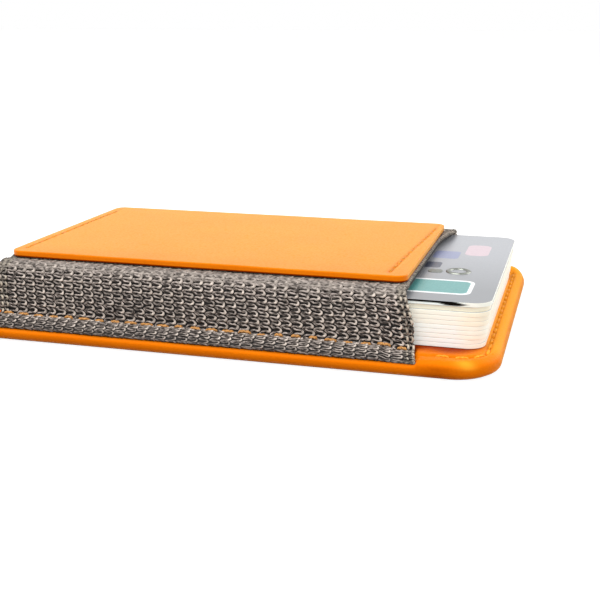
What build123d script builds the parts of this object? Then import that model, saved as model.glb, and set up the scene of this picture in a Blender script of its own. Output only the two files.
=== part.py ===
from build123d import *
import math
import os

# Magnetic card holder: a leather back panel with a ring of magnets inside, a woven
# elastic sleeve sewn to its long sides, a smaller leather panel on top of the sleeve,
# and the pile of cards that the sleeve grips.
# X runs towards the mouth where the cards come out, Y across the holder and Z up.
# The origin is the centre of the back panel's underside.

# Cards, of the standard size
card_length = 85.6
card_width = 53.98
card_thickness = 0.76
card_corner = 3.18
card_count = 10
card_gap = 0.02
top_card_gap = 0.15
pile_clearance = 0.1
pile_lean = 0.7
pile_unevenness = 0.12

# Back panel
mouth_margin = 2.25
rear_margin = 9.15
base_corner = 8
back_top_thickness = 0.8
back_bottom_thickness = 0.8
bottom_inset = 1.3
edge_rise = 0.25
edge_roll_top = 1.4
edge_roll_bottom = 1.2
turned_edge = 5
plateau_margin = 0.26
pressed_edge_drop = 1.1
step_clearance = 0.7
step_slope = 2
board_corner = 3
board_fit = 0.1

# Magnets and their steel ring
magnet_count = 12
magnet_thickness = 1.25
shield_thickness = 0.35
ring_wall = 1
ring_width = 4.2
magnet_gap = 1
bar_offset = 2.5
bar_width = 5.5
bar_length = 20

# Elastic sleeve
band_thickness = 1.2
side_gap = 0.56
shoulder_radius = 3
foot_radius = 0.6
band_rear_inset = 5
band_mouth_inset = 13.5
band_mouth_lean = 2.25
hem_width = 5.35
hem_layer = 0.97
hem_slit = 0.16
hem_margin = 0.65
hem_step_gap = 0.2
valley_depth = 0.6
valley_width = 0.6
valley_rise = 1.4

# Front panel and the lining below it
front_leather = 0.7
front_board_thickness = 0.35
front_wrap = 0.8
front_corner = 2
front_edge_radius = 0.4
front_side_margin = 2.05
front_mouth_margin = 1
front_rear_margin = 0.1
lining_thickness = 0.55
lining_inset = 0.8

# Seams
stitch_pitch = 3.05
stitch_length = 2.2
thread_width = 0.5
thread_thickness = 0.28
seam_end_inset = 2.3
seam_side_inset = 3.4
seam_corner = 4.6
seam_groove_width = 0.9
seam_groove_depth = 0.3
front_mouth_seam_inset = 3
front_rear_seam_inset = 2
front_seam_end = 4

# How far every cut runs past the solid that it cuts
overrun = 1

# Heights, from the underside up
board_thickness = magnet_thickness + shield_thickness
board_top = back_bottom_thickness + board_thickness
base_thickness = board_top + back_top_thickness
hem_seat = base_thickness - pressed_edge_drop
pile_bottom = base_thickness + pile_clearance
pile_height = card_count * card_thickness + (card_count - 2) * card_gap + top_card_gap
lining_bottom = pile_bottom + pile_height + pile_clearance
roof_bottom = lining_bottom + lining_thickness
roof_top = roof_bottom + band_thickness
front_thickness = front_leather + front_board_thickness

# Widths, from the middle out
wall_inner_y = card_width / 2 + side_gap
wall_outer_y = wall_inner_y + band_thickness
nose_y = wall_outer_y + hem_width
base_width = 2 * (nose_y + hem_margin)
plateau_y = card_width / 2 + plateau_margin
cavity_width = 2 * (plateau_y - back_top_thickness)
seam_y = base_width / 2 - seam_side_inset

# Lengths along the holder
base_length = card_length + mouth_margin + rear_margin
cavity_length = base_length - 2 * turned_edge
seam_x = base_length / 2 - seam_end_inset
band_rear_x = -base_length / 2 + band_rear_inset
band_mouth_x = base_length / 2 - band_mouth_inset
band_roof_x = band_mouth_x - band_mouth_lean
front_rear_x = band_rear_x + front_rear_margin
front_mouth_x = band_roof_x - front_mouth_margin
front_length = front_mouth_x - front_rear_x
front_x = (front_mouth_x + front_rear_x) / 2
front_width = 2 * (wall_outer_y - shoulder_radius - front_side_margin)

# Ring of magnets, centred in the board
ring_outer = cavity_width / 2 - board_fit - ring_wall
ring_inner = ring_outer - ring_width
bar_x = -(ring_outer + bar_offset + bar_width / 2)


def ring_sector(outer, inner, start, sweep):
    """Return the face between two radii, from the start angle through the sweep."""
    with BuildSketch(mode=Mode.PRIVATE) as sector:
        with BuildLine():
            far = CenterArc((0, 0), outer, start, sweep)
            near = CenterArc((0, 0), inner, start, sweep)
            Line(far @ 0, near @ 0)
            Line(far @ 1, near @ 1)
        make_face()
    return sector.sketch


def magnet_sector(index, fit):
    """Return the outline of one magnet of the ring, grown on each side by the fit."""
    turn = 360 / magnet_count
    middle_radius = (ring_outer + ring_inner) / 2
    trim = math.degrees((magnet_gap / 2 - fit) / middle_radius)
    return ring_sector(ring_outer + fit, ring_inner - fit, index * turn + trim, turn - 2 * trim)


def row(run):
    """Return the places of the stitches along a straight seam, centred on zero."""
    count = int(run // stitch_pitch)
    return [(index - (count - 1) / 2) * stitch_pitch for index in range(count)]


# Bottom leather of the back panel, the flat face that the holder lies on
with BuildPart() as back_bottom_leather:
    with BuildSketch():
        RectangleRounded(
            base_length - 2 * bottom_inset, base_width - 2 * bottom_inset, base_corner - bottom_inset
        )
    extrude(amount=back_bottom_thickness)

# Top leather of the back panel, turned round the edge on to the underside
with BuildPart() as back_top_leather:
    with BuildSketch(Plane.XY.offset(edge_rise)):
        RectangleRounded(base_length, base_width, base_corner)
    extrude(amount=base_thickness - edge_rise)
    fillet(back_top_leather.edges().group_by(Axis.Z)[-1], edge_roll_top)
    fillet(back_top_leather.edges().group_by(Axis.Z)[0], edge_roll_bottom)
    # The recess of the bottom leather, and the space of the board
    with BuildSketch():
        RectangleRounded(
            base_length - 2 * bottom_inset, base_width - 2 * bottom_inset, base_corner - bottom_inset
        )
    extrude(amount=back_bottom_thickness, mode=Mode.SUBTRACT)
    with BuildSketch(Plane.XY.offset(back_bottom_thickness)):
        RectangleRounded(cavity_length, cavity_width, board_corner)
    extrude(amount=board_thickness, mode=Mode.SUBTRACT)
    # The long sides, pressed down where the hems of the sleeve lie on them
    for side in (-1, 1):
        with BuildSketch(Plane.XZ.offset(side * plateau_y)):
            with BuildLine():
                Polyline(
                    (band_rear_x - step_clearance - step_slope, base_thickness),
                    (band_rear_x - step_clearance, hem_seat),
                    (band_mouth_x + step_clearance, hem_seat),
                    (band_mouth_x + step_clearance + step_slope, base_thickness),
                    (band_mouth_x + step_clearance + step_slope, base_thickness + overrun),
                    (band_rear_x - step_clearance - step_slope, base_thickness + overrun),
                    close=True,
                )
            make_face()
        extrude(amount=side * (base_width / 2 - plateau_y + overrun), mode=Mode.SUBTRACT)
    # The crease that the seam presses into the leather round the edge
    with BuildSketch(Plane.XY.offset(base_thickness - seam_groove_depth)):
        RectangleRounded(
            2 * seam_x + seam_groove_width,
            2 * seam_y + seam_groove_width,
            seam_corner + seam_groove_width / 2,
        )
        RectangleRounded(
            2 * seam_x - seam_groove_width,
            2 * seam_y - seam_groove_width,
            seam_corner - seam_groove_width / 2,
            mode=Mode.SUBTRACT,
        )
    extrude(amount=seam_groove_depth + overrun, mode=Mode.SUBTRACT)

# Stiffener board of the back panel, with a pocket for each magnet
with BuildPart() as back_board:
    with BuildSketch(Plane.XY.offset(back_bottom_thickness)):
        RectangleRounded(
            cavity_length - 2 * board_fit, cavity_width - 2 * board_fit, board_corner - board_fit
        )
    extrude(amount=board_thickness)
    with BuildSketch(Plane.XY.offset(back_bottom_thickness)):
        for index in range(magnet_count):
            add(magnet_sector(index, board_fit))
        with Locations((bar_x, 0)):
            Rectangle(bar_width + 2 * board_fit, bar_length + 2 * board_fit)
    extrude(amount=board_thickness, mode=Mode.SUBTRACT)
    with BuildSketch(Plane.XY.offset(board_top)):
        Circle(ring_outer + board_fit)
        Circle(ring_inner - board_fit, mode=Mode.SUBTRACT)
    extrude(amount=-shield_thickness, mode=Mode.SUBTRACT)

# Magnets of the ring
magnets = []
for index in range(magnet_count):
    with BuildPart() as magnet:
        with BuildSketch(Plane.XY.offset(back_bottom_thickness)):
            add(magnet_sector(index, 0))
        extrude(amount=magnet_thickness)
    magnets.append(magnet)

# Bar magnet that lines the holder up
with BuildPart() as alignment_magnet:
    with BuildSketch(Plane.XY.offset(back_bottom_thickness)):
        with Locations((bar_x, 0)):
            Rectangle(bar_width, bar_length)
    extrude(amount=board_thickness)

# Steel ring over the magnets, which keeps their field off the cards
with BuildPart() as shield_ring:
    with BuildSketch(Plane.XY.offset(board_top - shield_thickness)):
        Circle(ring_outer)
        Circle(ring_inner, mode=Mode.SUBTRACT)
    extrude(amount=shield_thickness)

# Elastic sleeve: roof, rounded shoulders, walls, and hems folded back under themselves
hem_top = hem_seat + 2 * hem_layer + hem_slit
valley_z = hem_top - valley_depth
valley_y = wall_outer_y + foot_radius
slit_bottom = hem_seat + hem_layer
slit_top = slit_bottom + hem_slit
nose_radius = (hem_top - hem_seat) / 2
nose_start_y = nose_y - nose_radius
arc_share = math.sqrt(0.5)
inner_radius = shoulder_radius - band_thickness
shoulder_y = wall_outer_y - shoulder_radius
shoulder_z = roof_top - shoulder_radius
with BuildPart() as elastic_band:
    with BuildSketch(Plane.YZ.offset(band_rear_x)):
        with BuildLine():
            Line((0, roof_bottom), (0, roof_top))
            Line((0, roof_top), (shoulder_y, roof_top))
            RadiusArc((shoulder_y, roof_top), (wall_outer_y, shoulder_z), shoulder_radius)
            Line((wall_outer_y, shoulder_z), (wall_outer_y, valley_z + foot_radius))
            RadiusArc((wall_outer_y, valley_z + foot_radius), (valley_y, valley_z), -foot_radius)
            Line((valley_y, valley_z), (valley_y + valley_width, valley_z))
            Spline(
                (valley_y + valley_width, valley_z),
                (valley_y + valley_width + valley_rise, hem_top),
                tangents=((1, 0), (1, 0)),
            )
            Line((valley_y + valley_width + valley_rise, hem_top), (nose_start_y, hem_top))
            ThreePointArc(
                (nose_start_y, hem_top), (nose_y, hem_top - nose_radius), (nose_start_y, hem_seat)
            )
            Polyline(
                (nose_start_y, hem_seat),
                (plateau_y + hem_step_gap, hem_seat),
                (plateau_y + hem_step_gap, slit_bottom),
                (nose_start_y, slit_bottom),
            )
            ThreePointArc(
                (nose_start_y, slit_bottom),
                (nose_start_y + hem_slit / 2, slit_bottom + hem_slit / 2),
                (nose_start_y, slit_top),
            )
            Polyline((nose_start_y, slit_top), (wall_inner_y, slit_top), (wall_inner_y, shoulder_z))
            RadiusArc((wall_inner_y, shoulder_z), (shoulder_y, roof_bottom), -inner_radius)
            Line((shoulder_y, roof_bottom), (0, roof_bottom))
        make_face()
        mirror(about=Plane.YZ)
    extrude(amount=band_mouth_x - band_rear_x)
    # The mouth edge leans back towards the roof
    with BuildSketch(Plane.XZ):
        with BuildLine():
            Polyline(
                (band_mouth_x, hem_seat - overrun),
                (band_mouth_x, hem_seat),
                (band_roof_x, roof_top),
                (band_roof_x, roof_top + overrun),
                (band_mouth_x + overrun, roof_top + overrun),
                (band_mouth_x + overrun, hem_seat - overrun),
                close=True,
            )
        make_face()
    extrude(amount=base_width / 2, both=True, mode=Mode.SUBTRACT)

# Thread rows that hold the hems down on the back panel
hem_seam_y = valley_y + valley_width / 2
hem_seam_x = (band_rear_x + band_mouth_x) / 2
hem_stitches = {}
for node, side in (("band_stitching_near", -1), ("band_stitching_far", 1)):
    with BuildPart() as hem_stitching:
        with BuildSketch(Plane.XY.offset(valley_z)):
            with Locations([(hem_seam_x + x, side * hem_seam_y) for x in row(band_mouth_x - band_rear_x)]):
                SlotOverall(stitch_length, thread_width)
        extrude(amount=thread_thickness)
    hem_stitches[node] = hem_stitching

# Thread of the back panel's own seam, round the mouth end and across the rear end
seam_start_x = band_mouth_x + step_clearance + step_slope
with BuildLine() as mouth_seam:
    FilletPolyline(
        (seam_start_x, -seam_y),
        (seam_x, -seam_y),
        (seam_x, seam_y),
        (seam_start_x, seam_y),
        radius=seam_corner,
    )
with BuildPart() as edge_stitching:
    with BuildSketch(Plane.XY.offset(base_thickness - seam_groove_depth)):
        seam = mouth_seam.wire()
        stitch_count = int(seam.length // stitch_pitch)
        for index in range(stitch_count):
            share = (index + 0.5) / stitch_count
            place = seam.position_at(share)
            heading = seam.tangent_at(share)
            with Locations((place.X, place.Y)):
                SlotOverall(
                    stitch_length, thread_width, rotation=math.degrees(math.atan2(heading.Y, heading.X))
                )
        with Locations([(-seam_x, y) for y in row(2 * plateau_y)]):
            SlotOverall(stitch_length, thread_width, rotation=90)
    extrude(amount=thread_thickness)

# Front panel: a leather skin wrapped over a thin board
with BuildPart() as front_skin:
    with BuildSketch(Plane.XY.offset(roof_top)):
        with Locations((front_x, 0)):
            RectangleRounded(front_length, front_width, front_corner)
    extrude(amount=front_thickness)
    fillet(front_skin.edges().group_by(Axis.Z)[-1], front_edge_radius)
    with BuildSketch(Plane.XY.offset(roof_top)):
        with Locations((front_x, 0)):
            RectangleRounded(
                front_length - 2 * front_wrap, front_width - 2 * front_wrap, front_corner - front_wrap
            )
    extrude(amount=front_board_thickness, mode=Mode.SUBTRACT)

with BuildPart() as front_board:
    with BuildSketch(Plane.XY.offset(roof_top)):
        with Locations((front_x, 0)):
            RectangleRounded(
                front_length - 2 * (front_wrap + board_fit),
                front_width - 2 * (front_wrap + board_fit),
                front_corner - front_wrap - board_fit,
            )
    extrude(amount=front_board_thickness)

# Lining strip inside the sleeve, which the cards slide along
with BuildPart() as front_lining:
    with BuildSketch(Plane.XY.offset(lining_bottom)):
        with Locations((front_x, 0)):
            RectangleRounded(
                front_length - 2 * lining_inset, front_width - 2 * lining_inset, front_corner - lining_inset
            )
    extrude(amount=lining_thickness)

# Thread rows across the front panel, near its mouth edge and its rear edge
front_stitches = {}
for node, x in (
    ("front_stitching_mouth", front_mouth_x - front_mouth_seam_inset),
    ("front_stitching_rear", front_rear_x + front_rear_seam_inset),
):
    with BuildPart() as front_stitching:
        with BuildSketch(Plane.XY.offset(roof_top + front_thickness)):
            with Locations([(x, y) for y in row(front_width - 2 * front_seam_end)]):
                SlotOverall(stitch_length, thread_width, rotation=90)
        extrude(amount=thread_thickness)
    front_stitches[node] = front_stitching

# Cards, the top one first; the pile leans, and the second card lies against the far wall
top_card_end_x = base_length / 2 - mouth_margin
cards = {}
for index in range(card_count):
    level = card_count - 1 - index
    height = pile_bottom + level * (card_thickness + card_gap)
    end_x = top_card_end_x - pile_lean * index / (card_count - 1)
    y = 0
    if index == 0:
        height = lining_bottom - pile_clearance - card_thickness
    else:
        end_x -= pile_unevenness * (1 + math.sin(index * index))
    if index == 1:
        y = side_gap - pile_clearance
    with BuildPart() as card:
        with BuildSketch(Plane.XY.offset(height)):
            with Locations((end_x - card_length / 2, y)):
                RectangleRounded(card_length, card_width, card_corner)
        extrude(amount=card_thickness)
    cards[f"card_{index + 1:02d}"] = card

pieces = {
    "back_bottom_leather": back_bottom_leather,
    "back_top_leather": back_top_leather,
    "back_board": back_board,
    "alignment_magnet": alignment_magnet,
    "shield_ring": shield_ring,
    "elastic_band": elastic_band,
    "edge_stitching": edge_stitching,
    "front_skin": front_skin,
    "front_board": front_board,
    "front_lining": front_lining,
}
pieces.update({f"magnet_{index + 1:02d}": magnet for index, magnet in enumerate(magnets)})
pieces.update(hem_stitches)
pieces.update(front_stitches)
pieces.update(cards)

os.makedirs("parts", exist_ok=True)
for name, piece in pieces.items():
    piece.part.label = name
    export_step(piece.part, f"parts/{name}.step")
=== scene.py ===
"""Magnetic card holder: leather panels, a woven elastic sleeve, seams and a pile of cards.

Every size in the classes is in millimetres, and the pieces go into the scene in metres.
"""

import logging
import math
from dataclasses import dataclass, field
from enum import Enum, StrEnum

import bpy
import numpy as np
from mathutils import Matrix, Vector

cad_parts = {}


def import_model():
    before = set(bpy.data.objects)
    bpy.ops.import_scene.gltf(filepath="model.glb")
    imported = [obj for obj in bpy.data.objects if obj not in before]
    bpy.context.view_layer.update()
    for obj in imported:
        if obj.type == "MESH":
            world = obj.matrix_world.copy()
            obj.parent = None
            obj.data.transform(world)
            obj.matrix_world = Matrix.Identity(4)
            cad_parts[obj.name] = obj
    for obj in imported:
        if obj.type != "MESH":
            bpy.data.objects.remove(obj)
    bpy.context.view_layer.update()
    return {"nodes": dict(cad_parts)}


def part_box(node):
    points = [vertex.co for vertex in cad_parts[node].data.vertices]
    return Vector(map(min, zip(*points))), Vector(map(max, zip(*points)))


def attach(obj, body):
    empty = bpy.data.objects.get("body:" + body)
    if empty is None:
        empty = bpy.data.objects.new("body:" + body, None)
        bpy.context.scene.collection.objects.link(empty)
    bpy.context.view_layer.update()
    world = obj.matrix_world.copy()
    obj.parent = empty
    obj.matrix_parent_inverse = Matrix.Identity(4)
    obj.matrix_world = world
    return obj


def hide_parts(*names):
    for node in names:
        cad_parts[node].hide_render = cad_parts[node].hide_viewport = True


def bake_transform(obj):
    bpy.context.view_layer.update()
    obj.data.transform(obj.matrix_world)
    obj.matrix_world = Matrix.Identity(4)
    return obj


LOG = logging.getLogger("card_holder")
MM = 0.001  # metres in a millimetre
FULL, QUARTER = 2 * math.pi, math.pi / 2  # turns, in radians
IMAGE_SIDE = 600  # pixels of the square picture that the camera frames
SEED = 20  # of the small differences between stitches and yarns
WAVE_TURN = 0.31  # a wave texture's scale, for one band in each unit of length
Array = np.ndarray
Faces = list[list[int]]
Shape = tuple[Array, Faces]  # points in millimetres, and each face's point numbers
Spot = tuple[float, float, float]
Tree = bpy.types.NodeTree
Socket = bpy.types.NodeSocket


class Body(StrEnum):
    """The rigid bodies that the pieces ride on, beside the cards' own."""

    HOLDER = "holder"
    FRONT = "front"


class Slot(StrEnum):
    """The record's material slots, named for the new pieces."""

    LEATHER = "leather"
    ELASTIC = "elastic"
    BAND_THREAD = "band_thread"
    LEATHER_THREAD = "leather_thread"
    CARD_FACE = "card_face"
    CARD_BODY = "card_body"


class Side(float, Enum):
    """The two long sides of the holder, by the sign of Y."""

    NEAR = -1.0
    FAR = 1.0


def linear(hex_colour: str) -> tuple[float, float, float, float]:
    """Turn an sRGB hex colour into linear light.

    Args:
        hex_colour: Colour as "#RRGGBB".

    Returns:
        Red, green, blue and alpha, each from 0 to 1.
    """
    shares = [int(hex_colour[start : start + 2], 16) / 255 for start in (1, 3, 5)]
    lit = [s / 12.92 if s <= 0.04045 else ((s + 0.055) / 1.055) ** 2.4 for s in shares]
    return (lit[0], lit[1], lit[2], 1.0)


def add_node(
    tree: Tree, kind: str, inputs: dict | None = None, out: int | str = 0, **settings: object
) -> Socket | None:
    """Add a shader node with its settings, values and links.

    Args:
        tree: Node tree that gets the node.
        kind: Blender's name of the node type, after "ShaderNode".
        inputs: Number, hex colour or socket for each input, by name or number.
        out: Output that is wanted, by name or number.
        settings: Properties of the node, set before its inputs.

    Returns:
        The wanted output, or None for a node without one.
    """
    made = tree.nodes.new("ShaderNode" + kind)
    for name, value in settings.items():
        setattr(made, name, value)
    for key, value in (inputs or {}).items():
        if isinstance(value, Socket):
            tree.links.new(value, made.inputs[key])
        else:
            made.inputs[key].default_value = linear(value) if isinstance(value, str) else value
    return made.outputs[out] if len(made.outputs) else None


def pattern(tree: Tree, kind: str, size_mm: float, out: int = 0, **values: float) -> Socket:
    """Lay a texture over a piece, sized by a real length.

    Args:
        tree: Node tree.
        kind: Node type of the texture.
        size_mm: Size of one cell, blotch or band.
        out: Output that is wanted.
        values: The texture's other inputs.

    Returns:
        The wanted output.
    """
    place = add_node(tree, "TexCoord", out="Object")
    return add_node(tree, kind, {"Vector": place, "Scale": 1 / (size_mm * MM), **values}, out)


def tint(
    tree: Tree, first: object, second: object, value: Socket,
    most: float = 1.0, start: float = 0.0, stop: float = 1.0,
) -> Socket:
    """Shade from one colour to a second by a value.

    Args:
        tree: Node tree.
        first: Hex colour or socket up to the start.
        second: Hex colour or socket that is mixed in beyond it.
        value: The value.
        most: Share of the second colour from the stop on.
        start: Value at which the second colour comes in.
        stop: Value from which it stays.

    Returns:
        The mixed colour.
    """
    if (most, start, stop) != (1.0, 0.0, 1.0):
        value = add_node(tree, "MapRange", {0: value, 1: start, 2: stop, 4: most})
    return add_node(tree, "Mix", {0: value, 6: first, 7: second}, 2, data_type="RGBA")


def stain(tree: Tree, colour: Socket, **tones: str) -> list[Socket]:
    """Lay tones over a colour where a piece's marks say so, one after the other.

    Args:
        tree: Node tree.
        colour: Colour under them.
        tones: Tone for each mark, by the mark's name.

    Returns:
        The stained colour, then each mark's value.
    """
    marks = [add_node(tree, "Attribute", out="Fac", attribute_name=name) for name in tones]
    for mark, tone in zip(marks, tones.values()):
        colour = tint(tree, colour, tone, mark)
    return [colour, *marks]


def seen_rays(tree: Tree) -> Socket:
    """Tell the rays by which the camera, a gloss or a clear material sees a place.

    Args:
        tree: Node tree.

    Returns:
        1 for those rays and 0 for the rest.
    """
    seen = add_node(tree, "LightPath", out="Is Camera Ray")
    rays = seen.node.outputs
    for ray in ("Is Glossy Ray", "Is Transmission Ray"):
        seen = add_node(tree, "Math", {0: seen, 1: rays[ray]}, operation="MAXIMUM")
    return seen


def smooth_step(low: float, high: float, value: Array) -> Array:
    """Rise smoothly from 0 to 1 between two values.

    Args:
        low: Where the rise starts.
        high: Where it ends.
        value: Places to work it out at.

    Returns:
        Shares from 0 to 1.
    """
    share = np.clip((np.asarray(value, float) - low) / (high - low), 0, 1)
    return share * share * (3 - 2 * share)


def ridge(distance: Array, width: float) -> Array:
    """Return a soft ridge, 1 at distance 0, that fades over the width."""
    return np.exp(-((distance / width) ** 2))


def waves(x: Array, y: Array, length: float) -> Array:
    """Work out the gentle unevenness of soft goods.

    Args:
        x: Places along X.
        y: Places along Y.
        length: About how long the waves are.

    Returns:
        Values from -1 to 1.
    """
    turn = FULL / length
    return (
        np.sin(turn * x + 1.3) * np.cos(0.83 * turn * y + 0.4)
        + np.sin(0.61 * turn * (x + y) + 2.1)
        + np.cos(0.47 * turn * (x - 1.4 * y) + 0.7)
    ) / 3


def curve_through(points: Array, steps: int) -> Array:
    """Draw a smooth curve through points.

    Args:
        points: The points, one in a row.
        steps: Steps between each two.

    Returns:
        The curve's points.
    """
    padded = np.concatenate(
        (2 * points[:1] - points[1:2], points, 2 * points[-1:] - points[-2:-1])
    )
    share = (np.arange(steps) / steps)[:, None]
    parts = []
    for before, here, after, beyond in zip(padded, padded[1:], padded[2:], padded[3:]):
        bend = 2 * before - 5 * here + 4 * after - beyond
        turn = 3 * (here - after) + beyond - before
        parts.append(here + share / 2 * (after - before + share * (bend + share * turn)))
    return np.concatenate((*parts, points[-1:]))


def circle(turns: Array) -> Array:
    """Return the points of a circle of radius 1 at these angles."""
    return np.stack((np.cos(turns), np.sin(turns)), 1)


def runs_along(path: Array) -> Array:
    """Return how far along a path each of its points lies."""
    return np.concatenate(((0,), np.cumsum(np.linalg.norm(np.diff(path, axis=0), axis=1))))


def spaced(path: Array, count: int) -> Array:
    """Return this many evenly spaced points on a flat path."""
    run = runs_along(path)
    return np.stack([np.interp(np.linspace(0, run[-1], count), run, line) for line in path.T], 1)


@dataclass(frozen=True)
class Finish:
    """A surface finish, kept as one material.

    Attributes:
        name: Name of the material, after what it is and how it was made.
        roughness: Roughness of the surface.
    """

    name: str
    roughness: float

    def material(self) -> bpy.types.Material:
        """Make the finish's material the first time that it is asked for.

        Returns:
            The material.
        """
        made = bpy.data.materials.get(self.name)
        if made is None:
            made = bpy.data.materials.new(self.name)
            made.use_nodes = True
            made.node_tree.nodes.clear()
            shader = self.shader(made.node_tree)
            add_node(made.node_tree, "OutputMaterial", {"Surface": shader})
        return made

    def shader(self, tree: Tree) -> Socket:
        """Return the main shader, with the finish's roughness and its own values."""
        values = {"Roughness": self.roughness} | self.values(tree)
        return add_node(tree, "BsdfPrincipled", values)

    def values(self, tree: Tree) -> dict:
        """Return the main shader's values, as nodes where they vary."""
        raise NotImplementedError


@dataclass(frozen=True)
class EmbossedLeather(Finish):
    """Cowhide, plated with a fine grain and spray-dyed.

    The plate leaves tiny rounded cells with darker valleys, and the dye gives an even
    orange with a satin shine. Its cells are about 0.4 mm wide and its pores 0.1 mm. One
    mark paints shade into seams, needle holes and folds, one paints light over the mouth
    end's top with a glint on its corners, and one is painted shadow beside the cards and
    painted shade under the hems and the front panel's rim.
    """

    cell_tone: str = "#F5800A"
    warm_tone: str = "#F17A07"
    valley_tone: str = "#DF6C03"
    nap_tone: str = "#FFF47C"
    nap: float = 1.0
    gloss: float = 0.45
    # Tones of the painted crease shade, the painted light and the painted shade
    crease_tone: str = "#8C5614"
    stretched_tone: str = "#FFA42A"
    worn_tone: str = "#8E2C00"
    wax_tone: str = "#FFB23C"
    worn_gloss: float = 0.05
    cell_mm: float = 0.42
    pore_mm: float = 0.13
    mottle_mm: float = 11.0
    cell_relief_mm: float = 0.035
    pore_relief_mm: float = 0.012

    def values(self, tree: Tree) -> dict:
        """Work out the leather's shader values.

        Args:
            tree: Node tree.

        Returns:
            Number, colour or socket for each input of the main shader.
        """
        cells = pattern(tree, "TexVoronoi", self.cell_mm, Randomness=0.9)
        mottle = pattern(tree, "TexNoise", self.mottle_mm)
        tone = tint(tree, self.cell_tone, self.warm_tone, mottle, 1, 0.35, 0.65)
        tone = tint(tree, tone, self.valley_tone, cells, 0.3, 0.3, 0.9)
        tones = {"stretch": self.stretched_tone, "wear": self.worn_tone}
        colour, _, wear, crease = stain(tree, tone, **tones, crease=self.crease_tone)
        domes = add_node(tree, "MapRange", {0: cells, 1: 0.1, 2: 0.9, 3: 1.0, 4: 0.0})
        relief = {"Height": domes, "Distance": self.cell_relief_mm * MM, "Strength": 0.5}
        relief["Normal"] = add_node(tree, "Bump", relief)
        relief["Height"] = pattern(tree, "TexNoise", self.pore_mm)
        relief["Distance"] = self.pore_relief_mm * MM
        rough = {1: 0.2, 2: 0.9, 3: self.roughness - 0.04, 4: self.roughness + 0.12}
        # Where shade is painted, the nap and the shine are taken down too
        flat = add_node(tree, "Math", {0: crease, 1: wear}, operation="MAXIMUM")
        nap, gloss = (
            add_node(tree, "MapRange", {0: flat, 2: 0.4, 3: whole, 4: least})
            for whole, least in ((self.nap, 0.0), (self.gloss, self.worn_gloss))
        )
        return {
            "Base Color": colour,
            "Roughness": add_node(tree, "MapRange", {0: cells, **rough}),
            "Normal": add_node(tree, "Bump", relief),
            "Sheen Weight": nap,
            "Sheen Roughness": 0.3,
            "Sheen Tint": self.nap_tone,
            "Specular IOR Level": gloss,
            "Specular Tint": self.wax_tone,
        }


@dataclass(frozen=True)
class SpunYarn(Finish):
    """Textured polyester yarn, woven into the face of the elastic.

    Its two plies leave a dark line along its length. Warm grey is woven with cream,
    which shows where the yarn turns round the rubber cords. The mark named cream says
    where, and the mark named strand holds the place along and round the yarn. A darker
    mark paints shade onto single strands, the shoulder, the rows under the front panel's
    edge and the hem and its fold. Single filaments are too fine to show, so their fuzz
    is drawn in tufts of 0.5 mm.
    """

    grey_tone: str = "#B9ACA4"
    dark_tone: str = "#271E19"
    cream_tone: str = "#FFF0E2"
    ply_count: float = 2.0
    winding: float = 0.25  # turns of the plies round each other in a millimetre
    fuzz_mm: float = 0.5
    ply_relief_mm: float = 0.03

    def values(self, tree: Tree) -> dict:
        """Work out the yarn's shader values.

        Args:
            tree: Node tree.

        Returns:
            Number, colour or socket for each input of the main shader.
        """
        strand = add_node(tree, "Attribute", out="Vector", attribute_name="strand")
        along = add_node(tree, "SeparateXYZ", {0: strand})
        around = along.node.outputs[1]
        steps = (
            ("MULTIPLY", self.winding), ("ADD", around), ("MULTIPLY", FULL * self.ply_count),
            ("SINE", 0.0),
        )
        for operation, other in steps:
            along = add_node(tree, "Math", {0: along, 1: other}, operation=operation)
        plies = add_node(tree, "MapRange", {0: along, 1: -1.0})
        fuzz = pattern(tree, "TexNoise", self.fuzz_mm, Detail=3.0)
        fuzz = add_node(tree, "MapRange", {0: fuzz, 1: 0.4, 2: 0.58, 3: 0.25})
        shade = add_node(tree, "Math", {0: plies, 1: fuzz}, operation="MULTIPLY")
        grey = tint(tree, self.dark_tone, self.grey_tone, shade, 1, 0.06, 0.6)
        colour, *_ = stain(tree, grey, dull=self.dark_tone, cream=self.cream_tone)
        relief = {"Height": plies, "Distance": self.ply_relief_mm * MM, "Strength": 0.4}
        normal = add_node(tree, "Bump", relief)
        return {"Base Color": colour, "Normal": normal, "Specular IOR Level": 0.35}


@dataclass(frozen=True)
class CoveredRubber(Finish):
    """Rubber cords wrapped in polyester, the ground of the woven elastic.

    Seen between the face yarns it is deep and dark, and its bare back shows a fine rib
    for each cord, 0.64 mm apart.
    """

    tone: str = "#1C1816"
    rib_tone: str = "#0E0B0A"
    rib_mm: float = 0.64
    rib_relief_mm: float = 0.08
    fuzz_mm: float = 0.25

    def values(self, tree: Tree) -> dict:
        """Work out the ground weave's shader values.

        Args:
            tree: Node tree.

        Returns:
            Number, colour or socket for each input of the main shader.
        """
        band = self.rib_mm / WAVE_TURN
        ribs = pattern(tree, "TexWave", band, 1, Distortion=1.5, Detail=1.0)
        fuzz = pattern(tree, "TexNoise", self.fuzz_mm, Detail=3.0)
        shade = add_node(tree, "Math", {0: ribs, 1: fuzz}, operation="MULTIPLY")
        relief = {"Height": shade, "Distance": self.rib_relief_mm * MM, "Strength": 0.6}
        colour = tint(tree, self.rib_tone, self.tone, shade, 1, 0.1, 0.6)
        return {"Base Color": colour, "Normal": add_node(tree, "Bump", relief)}


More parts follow.
